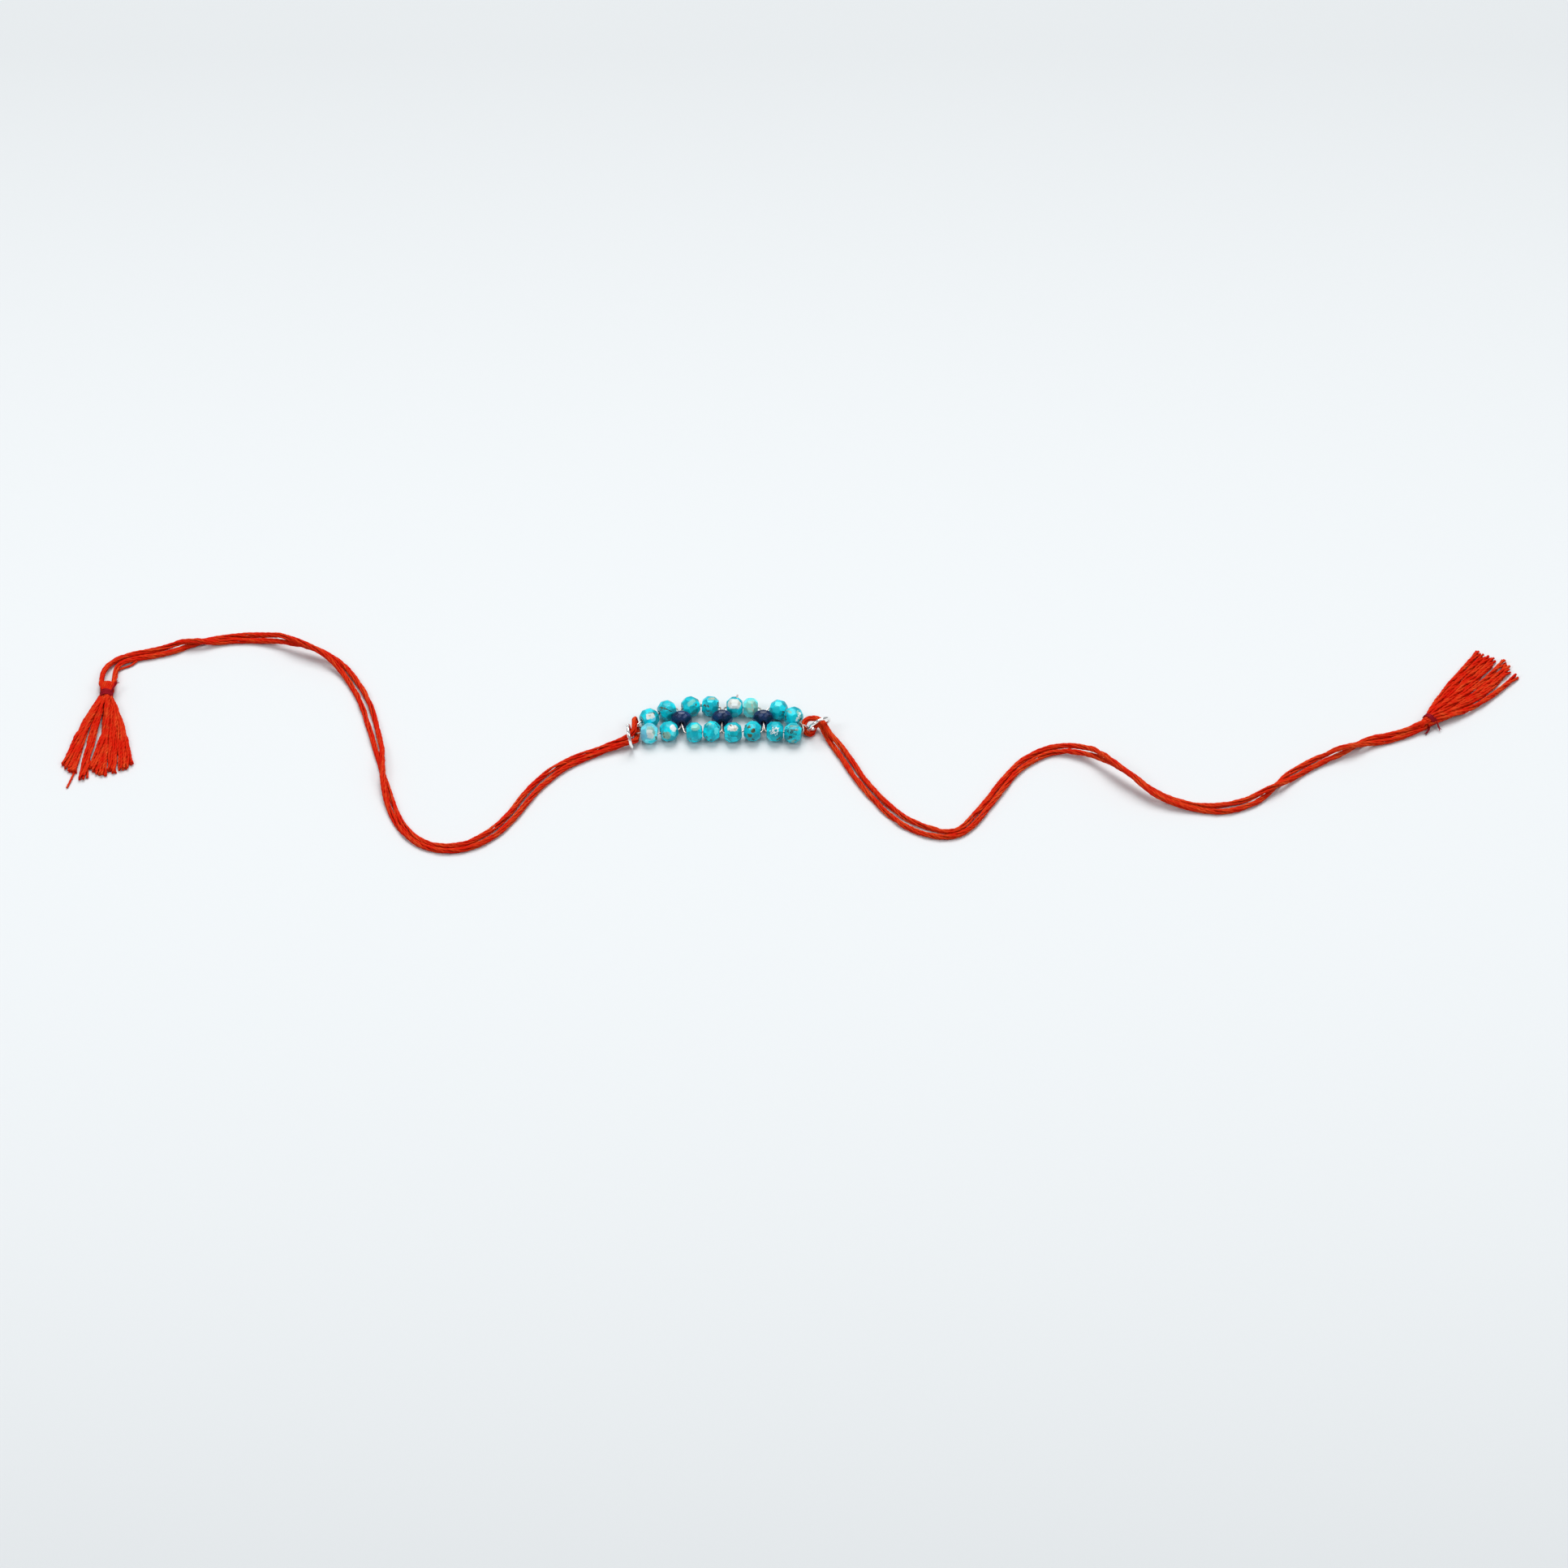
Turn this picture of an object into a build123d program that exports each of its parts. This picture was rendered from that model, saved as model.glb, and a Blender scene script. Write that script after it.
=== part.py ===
from build123d import *
import math
import os
from random import Random

# A rakhi thread bracelet lying open on a table: two rows of turquoise beads with three blue
# beads set across between them, woven on one wire, and at each end a ring that closes a loop
# of doubled floss thread with a tassel. Millimetres.
# +X runs along the bead rows, +Y points away from the wearer's hand and +Z up.
# The origin is on the table under the middle blue bead.

os.makedirs("parts", exist_ok=True)

# Beads
turquoise_diameter = 4.0
turquoise_thickness = 3.3
turquoise_hole = 0.8
turquoise_girdle = 0.40
turquoise_table = 0.60
turquoise_flat = 0.965
blue_diameter = 4.1
blue_thickness = 2.6
blue_hole = 1.0
blue_girdle = 0.34
blue_table = 0.56
blue_flat = 0.975
blue_sides = 10
blank_allowance = 1.3
bead_gap = 0.25
row_gap = 0.25
cross_gap = 1.26
facet_turn_wander = 4.0
facet_depth_wander = 0.02

# Bead wire
wire_diameter = 0.32
wire_bend = 0.5
wire_lane = 0.18
wire_stub = 0.35
wire_end_stub = 0.18
wire_clearance = 0.03
wire_turn_step = 45.0

# Jump rings
ring_outer_diameter = 5.1
ring_wire_diameter = 0.62
left_ring_cut = 6.0
left_ring_cut_place = 75.0

# Floss thread. arc_share is how much of the shorter run beside a corner its arc takes.
thread_diameter = 1.15
arc_share = 0.45

# Tassels
lock_diameter = 0.86
lock_sides = 6
lock_sink = 0.14
head_chamfer_share = 0.3
lock_drops = (
    # share of a lock's length, share of its drop to the table
    (0.0, 0.0),
    (0.25, 0.30),
    (0.6, 0.80),
    (1.0, 1.0),
)
neck_diameter = 2.26
wrap_length = 1.7
wrap_wall = 0.2
wrap_clearance = 0.04
head_gap = 0.06
thread_clearance = 0.06

wire_radius = wire_diameter / 2
thread_radius = thread_diameter / 2
ring_wire_radius = ring_wire_diameter / 2
ring_radius = ring_outer_diameter / 2 - ring_wire_radius
lock_radius = lock_diameter / 2
neck_radius = neck_diameter / 2
wrap_inner_radius = neck_radius + wrap_clearance
wrap_outer_radius = wrap_inner_radius + wrap_wall
turquoise_rest = turquoise_flat * turquoise_diameter / 2
blue_rest = blue_flat * blue_diameter / 2
bead_pitch = turquoise_thickness + bead_gap
blue_pitch = 2 * turquoise_thickness + bead_gap + cross_gap
row_reach = blue_thickness / 2 + row_gap + turquoise_diameter / 2

# The turquoise beads of each row from left to right. slide and reach are a bead's shift along
# the row and its distance across it, as shares of the thickness and of the rows' reach. thick
# is its share of the usual thickness, and turn is its hole's heading in degrees.
upper_beads = [
    # slide, reach, thick, turn, sides
    (-0.13, 0.03, 1.02, 28, 8),
    (-0.16, 0.66, 1.00, 24, 8),
    (-0.12, 0.95, 1.04, 16, 9),
    (-0.01, 0.98, 0.98, -6, 8),
    (0.06, 0.93, 0.96, 2, 9),
    (-0.06, 0.87, 0.88, 0, 8),
    (0.23, 0.70, 0.97, -20, 8),
    (0.05, 0.15, 1.00, -31, 9),
]
lower_beads = [
    (-0.13, -1.16, 1.00, -4, 9),
    (-0.02, -0.99, 1.02, 14, 8),
    (0.10, -1.08, 0.95, 3, 8),
    (0.08, -0.99, 0.98, -8, 9),
    (-0.04, -1.08, 1.03, 6, 8),
    (0.06, -0.99, 0.99, -8, 9),
    (0.02, -1.01, 0.99, -3, 8),
    (0.03, -1.13, 1.02, -6, 9),
]
blue_beads = [
    # shift along and across the band, as shares of the blue bead's diameter
    (0.02, -0.065),
    (0.00, 0.00),
    (0.01, -0.005),
]

# The doubled threads, hand-placed. lift is the height of the lower leg's underside above the
# table, apart the legs' distance in thread widths, and roll how far the pair has turned about
# its own line: at 0 the first leg is on the left.
left_pair = [
    # x, y, lift, apart, roll; from the tassel to the ring
    (-121.5, 13.3, 0.35, 2.25, 0),
    (-120.9, 15.7, 0.15, 1.80, 0),
    (-119.6, 17.4, 0.10, 1.35, 0),
    (-117.0, 18.7, 0.00, 1.14, 0),
    (-113.7, 19.5, 0.00, 1.35, 0),
    (-111.1, 20.3, 0.00, 1.45, 0),
    (-108.9, 21.0, 0.00, 1.30, 12),
    (-107.0, 21.6, 0.00, 1.20, 50),
    (-104.9, 22.1, 0.00, 1.20, 98),
    (-102.8, 22.7, 0.00, 1.18, 140),
    (-100.4, 23.3, 0.00, 1.14, 176),
    (-97.5, 23.8, 0.00, 1.16, 180),
    (-94.8, 24.1, 0.00, 1.40, 180),
    (-92.2, 24.0, 0.10, 1.45, 184),
    (-89.9, 23.5, 0.40, 1.22, 205),
    (-87.8, 22.6, 0.80, 1.18, 238),
    (-85.6, 21.6, 1.10, 1.16, 268),
    (-83.1, 20.5, 1.30, 1.14, 290),
    (-80.4, 19.3, 1.20, 1.14, 306),
    (-77.9, 17.8, 0.80, 1.14, 324),
    (-75.8, 15.9, 0.40, 1.18, 346),
    (-73.9, 13.3, 0.10, 1.35, 360),
    (-71.8, 9.2, 0.00, 1.50, 360),
    (-70.2, 4.5, 0.00, 1.55, 360),
    (-69.1, -0.2, 0.00, 1.48, 360),
    (-68.2, -4.9, 0.00, 1.24, 370),
    (-67.4, -9.2, 0.00, 1.18, 402),
    (-67.0, -13.2, 0.00, 1.18, 444),
    (-66.5, -16.9, 0.00, 1.18, 486),
    (-65.7, -20.7, 0.00, 1.16, 520),
    (-64.6, -25.0, 0.00, 1.14, 540),
    (-62.9, -29.2, 0.00, 1.14, 540),
    (-60.1, -32.7, 0.00, 1.14, 540),
    (-56.7, -34.5, 0.00, 1.20, 540),
    (-53.2, -34.9, 0.00, 1.22, 540),
    (-49.9, -34.1, 0.00, 1.35, 540),
    (-46.8, -32.2, 0.00, 1.50, 540),
    (-43.9, -29.4, 0.00, 1.40, 540),
    (-41.1, -25.4, 0.00, 1.40, 540),
    (-38.2, -20.0, 0.00, 1.45, 540),
    (-35.1, -15.5, 0.00, 1.50, 540),
    (-31.7, -12.0, 0.00, 1.40, 540),
    (-28.2, -9.7, 0.00, 1.22, 540),
    (-24.8, -8.1, 0.10, 1.14, 540),
    (-21.6, -6.7, 0.45, 1.14, 540),
]
right_pair = [
    # x, y, lift, apart, roll; from the ring to the tassel
    (22.1, -5.7, 0.05, 1.18, 48),
    (23.3, -7.7, 0.00, 1.24, 22),
    (24.8, -10.4, 0.00, 1.34, 4),
    (26.5, -14.0, 0.00, 1.38, 0),
    (28.5, -17.7, 0.00, 1.36, 0),
    (30.9, -21.4, 0.00, 1.36, 0),
    (33.4, -24.8, 0.00, 1.50, 0),
    (36.0, -27.4, 0.00, 1.75, 0),
    (38.9, -29.3, 0.00, 1.85, 0),
    (41.8, -30.6, 0.00, 1.70, 0),
    (44.5, -31.0, 0.00, 1.35, 0),
    (46.8, -30.3, 0.00, 1.14, 0),
    (48.6, -28.6, 0.00, 1.20, 0),
    (49.9, -26.4, 0.00, 1.40, 0),
    (51.2, -24.4, 0.00, 1.18, 0),
    (53.0, -21.3, 0.00, 1.14, 0),
    (55.4, -17.0, 0.00, 1.14, 0),
    (57.8, -12.9, 0.00, 1.16, 0),
    (60.7, -9.8, 0.00, 1.25, 0),
    (64.0, -7.8, 0.10, 1.46, 0),
    (67.2, -7.2, 0.30, 1.46, 0),
    (70.2, -8.0, 0.70, 1.30, 16),
    (72.8, -9.5, 1.20, 1.20, 50),
    (75.2, -11.6, 1.70, 1.18, 84),
    (77.8, -14.1, 2.10, 1.16, 110),
    (80.5, -16.7, 2.10, 1.14, 129),
    (83.1, -19.1, 1.60, 1.14, 144),
    (85.8, -21.1, 1.00, 1.14, 155),
    (89.1, -22.5, 0.40, 1.14, 165),
    (92.6, -23.3, 0.10, 1.16, 174),
    (96.0, -23.8, 0.00, 1.32, 180),
    (99.0, -23.7, 0.00, 1.72, 180),
    (101.7, -22.9, 0.00, 1.70, 180),
    (104.1, -21.9, 0.00, 1.28, 192),
    (106.0, -20.8, 0.00, 1.20, 226),
    (107.7, -19.5, 0.00, 1.20, 266),
    (109.4, -17.7, 0.00, 1.20, 310),
    (111.3, -15.6, 0.00, 1.38, 348),
    (113.9, -13.2, 0.00, 1.52, 360),
    (116.6, -11.2, 0.00, 1.35, 360),
    (118.8, -10.0, 0.10, 1.20, 376),
    (120.9, -9.2, 0.30, 1.18, 412),
    (123.0, -8.2, 0.40, 1.16, 450),
    (125.0, -6.9, 0.30, 1.18, 488),
    (127.1, -5.6, 0.10, 1.30, 522),
    (129.7, -4.5, 0.00, 1.65, 540),
    (132.2, -3.9, 0.00, 1.55, 540),
    (134.4, -3.3, 0.00, 1.25, 540),
    (136.5, -2.5, 0.15, 1.18, 540),
]

# The threads' folds at the beads, from where the bead wire holds them to past the ring.
left_fold_back = [
    (-16.85, -2.40, 1.00),
    (-16.85, -0.55, 1.00),
    (-17.30, -0.55, 2.85),
    (-17.30, -2.60, 2.70),
    (-17.33, -4.00, 2.54),
    (-18.10, -4.75, 1.85),
]
left_fold_front = [
    (-18.10, -5.98, 1.62),
    (-17.00, -5.70, 1.32),
    (-16.85, -4.45, 1.06),
    (-16.85, -2.50, 1.00),
]
right_fold_over = [
    (16.17, -1.90, 1.56),
    (16.20, -0.90, 2.05),
    (17.20, -0.30, 2.35),
    (18.70, -0.55, 2.70),
    (19.97, -1.79, 2.86),
    (21.34, -4.25, 1.88),
]
right_fold_under = [
    (20.80, -3.95, 0.64),
    (19.55, -1.50, 1.72),
    (18.75, -0.80, 1.22),
    (18.05, -1.55, 0.68),
    (17.85, -3.00, 0.62),
    (16.50, -3.00, 0.82),
    (16.16, -2.00, 1.50),
]

# Rings: middle, and two directions in the ring's plane.
left_ring_middle = (-18.15, -5.46, 2.58)
left_ring_across = (-0.0614, 0.9981, 0.0)
left_ring_up = (-0.2007, -0.0124, 0.9796)
right_ring_middle = (19.19, -2.04, 2.44)
right_ring_across = (0.880, 0.336, 0.336)
right_ring_up = (-0.135, -0.501, 0.855)
right_ring_start = -70
right_ring_stop = 160
right_ring_step = 23
right_ring_end = [
    (17.30, -2.78, 1.80),
    (17.66, -2.55, 1.62),
    (18.25, -2.48, 1.68),
]

# The bead wire's turns round the left thread, as angles about the thread and places along it,
# and its finish round the right thread.
wire_turns = [
    # angle, y
    (80, -1.47),
    (125, -1.53),
    (170, -1.59),
    (215, -1.65),
    (260, -1.71),
    (305, -1.77),
    (350, -1.83),
    (35, -1.89),
    (80, -1.95),
    (125, -2.02),
    (170, -2.12),
    (210, -2.30),
    (210, -2.80),
    (165, -3.10),
    (125, -3.55),
    (88, -4.05),
]
wire_turn_middle = (-16.85, 1.00)
wire_finish_upper = [
    (15.33, -1.28, 2.24),
    (15.75, -2.10, 2.42),
    (16.45, -2.40, 2.35),
    (17.02, -2.18, 1.70),
    (16.85, -1.75, 0.95),
    (16.20, -1.42, 0.74),
    (15.48, -1.42, 1.05),
    (15.28, -1.50, 1.60),
]
wire_finish_lower = [
    (16.12, -3.45, 2.30),
    (15.90, -2.40, 2.58),
    (15.42, -1.80, 2.10),
]

# Tassels: the head's middle, the heading of the cord into it and of the fan out of it, and the
# lock tips. hand is 1 where the thread comes in on the left of its heading and -1 on the right.
tassels = {
    "left": {
        "middle": (-121.75, 8.43),
        "cord_heading": -90.0,
        "fan_heading": -92.0,
        "head_radius": 1.38,
        "fold_reach": 1.35,
        "hand": 1,
        "locks": [
            # tip x, tip y, bow to the left as a share of the lock's length, height share
            (-129.8, -11.4, 0.03, 0.2),
            (-129.0, -13.0, 0.02, 0.7),
            (-128.2, -13.8, 0.03, 0.3),
            (-127.2, -13.8, 0.00, 0.8),
            (-126.3, -15.5, 0.02, 0.4),
            (-125.5, -14.9, -0.01, 0.9),
            (-125.0, -12.7, 0.00, 0.2),
            (-124.2, -13.9, 0.01, 1.0),
            (-123.2, -13.9, 0.00, 0.5),
            (-121.9, -14.3, 0.01, 1.0),
            (-120.6, -13.1, 0.00, 0.3),
            (-119.4, -13.5, -0.02, 0.8),
            (-118.4, -12.5, -0.01, 0.4),
            (-117.2, -12.2, -0.02, 0.7),
            (-116.4, -11.1, -0.04, 0.2),
        ],
    },
    "right": {
        "middle": (138.8, -0.9),
        "cord_heading": 36.0,
        "fan_heading": 48.0,
        "head_radius": 1.2,
        "fold_reach": 0.95,
        "hand": -1,
        "locks": [
            (149.9, 20.0, 0.05, 0.2),
            (150.9, 19.1, 0.04, 0.7),
            (152.0, 18.7, 0.03, 0.3),
            (153.2, 18.2, 0.02, 0.9),
            (153.5, 17.0, 0.00, 0.5),
            (155.0, 17.7, 0.01, 1.0),
            (155.8, 16.8, -0.01, 0.4),
            (156.0, 14.5, 0.00, 0.8),
            (155.5, 13.2, -0.03, 0.3),
            (157.5, 13.5, -0.11, 0.2),
        ],
    },
}


def along(start, direction, distance):
    return tuple(a + b * distance for a, b in zip(start, direction))


def heading_vector(degrees):
    return (math.cos(math.radians(degrees)), math.sin(math.radians(degrees)), 0.0)


def bend_radii(points, largest=None):
    """Arc radii that leave a straight piece between neighbouring arcs."""
    radii = []
    for before, corner, after in zip(points, points[1:], points[2:]):
        into = Vector(corner) - Vector(before)
        out = Vector(after) - Vector(corner)
        half_turn = math.radians(into.get_angle(out)) / 2
        radius = arc_share * min(into.length, out.length) / math.tan(half_turn)
        radii.append(min(radius, largest) if largest else radius)
    return radii


def tube(points, diameter, largest=None):
    path = FilletPolyline(*points, radius=bend_radii(points, largest))
    section = Plane(origin=path @ 0, z_dir=path % 0) * Circle(diameter / 2)
    return sweep(section, path=path)


def faceted_bead(thickness, diameter, flat, girdle, table, sides, hole, seed=0, wander=0):
    """A drilled barrel with three rows of facets, hole along X and a level facet underneath.
    wander is how hand-cut the other facets are."""
    random = Random(seed)
    radius = diameter / 2
    half = thickness / 2
    bead = Rot(0, 90, 0) * Cylinder(radius * blank_allowance, thickness)
    crown_normal = Vector(radius * (1 - table), half * (1 - girdle), 0).normalized()
    for row in (0, -1, 1):
        for number in range(sides):
            azimuth = (number + abs(row) / 2) * 360 / sides
            depth = flat * radius
            if row or number:
                azimuth += wander * random.uniform(-facet_turn_wander, facet_turn_wander)
                depth *= 1 + wander * random.uniform(-facet_depth_wander, facet_depth_wander)
            outward = (0, math.sin(math.radians(azimuth)), -math.cos(math.radians(azimuth)))
            normal = (row * crown_normal.X, outward[1] * crown_normal.Y, outward[2] * crown_normal.Y)
            if not row:
                normal = outward
            place = along((row * girdle * half, 0, 0), outward, depth)
            bead = split(bead, bisect_by=Plane(origin=place, z_dir=normal), keep=Keep.BOTTOM)
    return bead - Rot(0, 90, 0) * Cylinder(hole / 2, thickness * 2)


def turquoise_rows():
    """Place, heading, thickness and sides of every turquoise bead."""
    spots = []
    for pair in (-1, 0, 1, 2):
        middle = (pair - 0.5) * blue_pitch
        spots += [middle - bead_pitch / 2, middle + bead_pitch / 2]
    rows = {}
    for name, beads in (("upper", upper_beads), ("lower", lower_beads)):
        rows[name] = []
        for spot, (slide, reach, thick, turn, sides) in zip(spots, beads):
            place = (spot + slide * turquoise_thickness, reach * row_reach, turquoise_rest)
            rows[name].append((place, turn, thick * turquoise_thickness, sides))
    return rows


def blue_places():
    places = []
    for number, (slide, shift) in enumerate(blue_beads):
        x = (number - 1) * blue_pitch + slide * blue_diameter
        places.append((x, shift * blue_diameter, blue_rest))
    return places


def hole_ends(place, heading, thickness, stub_before=0.0, stub_after=0.0, lane=0.0):
    """The two ends of a bead's hole, each stub further out, raised by lane."""
    axis = heading_vector(heading)
    middle = (place[0], place[1], place[2] + lane)
    before = along(middle, axis, -thickness / 2 - stub_before)
    return [before, along(middle, axis, thickness / 2 + stub_after)]


def pair_legs(stations):
    """The two legs of a doubled thread from its stations."""
    legs = ([], [])
    for number, (x, y, lift, apart, roll) in enumerate(stations):
        before = stations[max(number - 1, 0)]
        after = stations[min(number + 1, len(stations) - 1)]
        run = math.dist(before[:2], after[:2])
        side = ((before[1] - after[1]) / run, (after[0] - before[0]) / run)
        reach = apart * thread_diameter / 2
        across = reach * math.cos(math.radians(roll))
        rise = reach * math.sin(math.radians(roll))
        middle = lift + thread_radius + abs(rise)
        legs[0].append((x + across * side[0], y + across * side[1], middle + rise))
        legs[1].append((x - across * side[0], y - across * side[1], middle - rise))
    return legs


def head_fold(tassel):
    """Corners of the thread's fold through a tassel's head."""
    left = heading_vector(tassel["cord_heading"] + 90)
    middle = (*tassel["middle"], tassel["head_radius"])
    reach = tassel["hand"] * tassel["fold_reach"]
    return [along(middle, left, reach), along(middle, left, -reach)]


def left_thread_points():
    first, second = pair_legs(left_pair)
    fold = head_fold(tassels["left"])
    return left_fold_back + second[::-1] + fold + first + left_fold_front


def right_thread_points():
    first, second = pair_legs(right_pair)
    fold = head_fold(tassels["right"])
    return right_fold_over + first + fold + second[::-1] + right_fold_under


def bead_wire_points():
    """One wire folded in the middle round the left thread; each half crosses over at every
    blue bead, so the halves change rows."""
    rows = turquoise_rows()
    blues = blue_places()
    turn_x, turn_z = wire_turn_middle
    reach = (thread_radius + wire_radius + wire_clearance) / math.cos(math.radians(wire_turn_step / 2))
    loop = []
    for angle, y in wire_turns:
        rise = reach * math.sin(math.radians(angle))
        loop.append((turn_x + reach * math.cos(math.radians(angle)), y, turn_z + rise))
    halves = []
    for row, lane in (("upper", wire_lane), ("lower", -wire_lane)):
        points = []
        for pair in range(len(blues) + 1):
            first, second = rows[row][2 * pair:2 * pair + 2]
            stub_before = wire_stub if pair else wire_end_stub
            stub_after = wire_stub if pair < len(blues) else wire_end_stub
            points += hole_ends(*first[:3], stub_before=stub_before)
            points += hole_ends(*second[:3], stub_after=stub_after)
            if pair < len(blues):
                ends = hole_ends(blues[pair], 90, blue_thickness, lane=lane)
                points += ends[::-1] if row == "upper" else ends
                row = "lower" if row == "upper" else "upper"
        halves.append(points)
    return wire_finish_upper[::-1] + halves[1][::-1] + loop[::-1] + halves[0] + wire_finish_lower


def ring_circle(middle, across, up, degrees):
    place = along(middle, across, ring_radius * math.cos(math.radians(degrees)))
    return along(place, up, ring_radius * math.sin(math.radians(degrees)))


def closed_ring():
    """The left ring, with its saw cut at the top."""
    plane = Plane(
        origin=left_ring_middle,
        x_dir=left_ring_across,
        z_dir=Vector(left_ring_across).cross(Vector(left_ring_up)),
    )
    arc = CenterArc((0, 0), ring_radius, left_ring_cut_place + left_ring_cut / 2, 360 - left_ring_cut)
    path = plane * arc
    return sweep(Plane(origin=path @ 0, z_dir=path % 0) * Circle(ring_wire_radius), path=path)


def sprung_ring():
    """The right ring, its lower end sprung inwards under the thread."""
    turns = range(right_ring_start, right_ring_stop + 1, right_ring_step)
    points = [ring_circle(right_ring_middle, right_ring_across, right_ring_up, turn) for turn in turns]
    path = Spline(*points, *right_ring_end)
    return sweep(Plane(origin=path @ 0, z_dir=path % 0) * Circle(ring_wire_radius), path=path)


def lock(root, tip, bow):
    """One lock of floss, six-sided: from the neck it drops to the table and bows a little."""
    travel = Vector(tip) - Vector(root)
    side = Vector(-travel.Y, travel.X, 0)
    places = []
    for part, drop in lock_drops:
        place = Vector(root) + travel * part + side * (4 * bow * part * (1 - part))
        places.append(Vector(place.X, place.Y, root[2] + travel.Z * drop))
    sections = []
    for number, place in enumerate(places):
        heading = places[min(number + 1, len(places) - 1)] - places[max(number - 1, 0)]
        level = Vector(-heading.Y, heading.X, 0)
        plane = Plane(origin=place, x_dir=level, z_dir=heading)
        sections.append(plane * RegularPolygon(lock_radius, lock_sides))
    return loft(sections, ruled=True)


def tassel_body(tassel):
    """Head, neck and locks in one."""
    middle, fan, neck_middle, wrap_end = tassel_frame(tassel)
    left = heading_vector(tassel["fan_heading"] + 90)
    head_plane = Plane(origin=middle, z_dir=heading_vector(tassel["cord_heading"] + 90))
    head = head_plane * Cylinder(tassel["head_radius"], 2 * tassel["fold_reach"])
    head = chamfer(head.edges().filter_by(GeomType.CIRCLE), tassel["head_radius"] * head_chamfer_share)
    neck_length = wrap_end + lock_diameter
    neck_plane = Plane(origin=along(neck_middle, fan, neck_length / 2), z_dir=fan)
    body = head + neck_plane * Cylinder(neck_radius, neck_length)
    gather = neck_radius - lock_radius
    last = len(tassel["locks"]) - 1
    for number, (x, y, bow, level) in enumerate(tassel["locks"]):
        spread = gather * (2 * number / last - 1)
        rise = (2 * level - 1) * math.sqrt(gather ** 2 - spread ** 2)
        root = along(along(neck_middle, fan, wrap_end + lock_sink), left, tassel["hand"] * spread)
        body += lock((root[0], root[1], root[2] + rise), (x, y, lock_radius), bow)
    return body


def tassel_frame(tassel):
    """The head's middle, the fan's direction, the neck's start and where the binding ends."""
    middle = (*tassel["middle"], tassel["head_radius"])
    neck_middle = (*tassel["middle"], wrap_outer_radius)
    wrap_end = tassel["head_radius"] + head_gap + wrap_length
    return middle, heading_vector(tassel["fan_heading"]), neck_middle, wrap_end


def tassel_wrap(tassel):
    middle, fan, neck_middle, wrap_end = tassel_frame(tassel)
    plane = Plane(origin=along(neck_middle, fan, wrap_end - wrap_length / 2), z_dir=fan)
    return plane * (Cylinder(wrap_outer_radius, wrap_length) - Cylinder(wrap_inner_radius, wrap_length))


def save(name, shape):
    shape.label = name
    export_step(shape, f"parts/{name}.step")


def main():
    for row, beads in turquoise_rows().items():
        for number, (place, turn, thickness, sides) in enumerate(beads, start=1):
            bead = faceted_bead(
                thickness, turquoise_diameter, turquoise_flat, turquoise_girdle, turquoise_table,
                sides, turquoise_hole, seed=f"{row} {number}", wander=1,
            )
            save(f"turquoise_bead_{row}_{number}", Pos(*place) * Rot(0, 0, turn) * bead)
    for number, place in enumerate(blue_places(), start=1):
        bead = faceted_bead(
            blue_thickness, blue_diameter, blue_flat, blue_girdle, blue_table, blue_sides, blue_hole,
        )
        save(f"blue_bead_{number}", Pos(*place) * Rot(0, 0, 90) * bead)

    save("bead_wire", tube(bead_wire_points(), wire_diameter, wire_bend))
    save("left_ring", closed_ring())
    save("right_ring", sprung_ring())

    for side, points in (("left", left_thread_points()), ("right", right_thread_points())):
        thread = tube(points, thread_diameter)
        radii = bend_radii(points)
        print(f"{side}_thread arc radii:", [round(radius, 1) for radius in radii])
        save(f"{side}_thread", thread)
        corner = points.index(head_fold(tassels[side])[0])
        tunnel = tube(points[corner - 2:corner + 4], thread_diameter + 2 * thread_clearance)
        save(f"{side}_tassel", tassel_body(tassels[side]) - tunnel)
        save(f"{side}_tassel_wrap", tassel_wrap(tassels[side]))


main()
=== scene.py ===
import math
from random import Random

import bpy
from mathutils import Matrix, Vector


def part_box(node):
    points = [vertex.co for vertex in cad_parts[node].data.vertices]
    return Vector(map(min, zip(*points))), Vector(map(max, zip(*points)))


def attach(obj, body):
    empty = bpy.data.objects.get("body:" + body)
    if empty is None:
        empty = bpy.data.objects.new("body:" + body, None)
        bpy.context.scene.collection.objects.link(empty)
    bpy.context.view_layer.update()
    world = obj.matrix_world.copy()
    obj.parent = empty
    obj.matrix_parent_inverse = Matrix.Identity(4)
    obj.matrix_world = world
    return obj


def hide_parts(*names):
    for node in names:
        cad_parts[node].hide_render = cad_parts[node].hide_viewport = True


# A rakhi thread bracelet: two rows of turquoise beads with three blue beads across between them
# on one wire, and at each end a ring closing a loop of doubled floss thread with a tassel.
# Tables and sizes are in millimetres, as the CAD source has them; everything made is in metres.

MM = 0.001

# Floss: one thread of the loops is a bundle of fine two-ply strands.
thread_diameter = 1.15
thread_radius = thread_diameter / 2
strands_in_thread = 6
strand_radius = 0.225
strand_lobe = 0.11
bundle_radius = 0.36
bundle_turn = 20.0
ply_turn = 2.6
thread_wander = 0.9
thread_sway = 0.07
leg_closeness = 0.95
strand_step = 0.20

# Tassel locks
neck_radius = 1.13
lock_radius = 0.43
strands_in_lock = 4
lock_bundle_radius = 0.29
lock_bundle_turn = 13.0
lock_strand_radius = 0.26
lock_ply_turn = 2.1
lock_wander = 1.3
lock_end_spread = 0.6

# Where a lock starts and where it leaves the neck: how far back from the binding's end, and how
# far apart the locks are, as a share of the neck's width. Then each lock's further points, as a
# share of its length and of its drop to the table.
lock_roots = ((1.7, 0.75), (0.5, 1.2))
lock_shares = ((0.25, 0.30), (0.6, 0.80), (1.0, 1.0))

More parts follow.
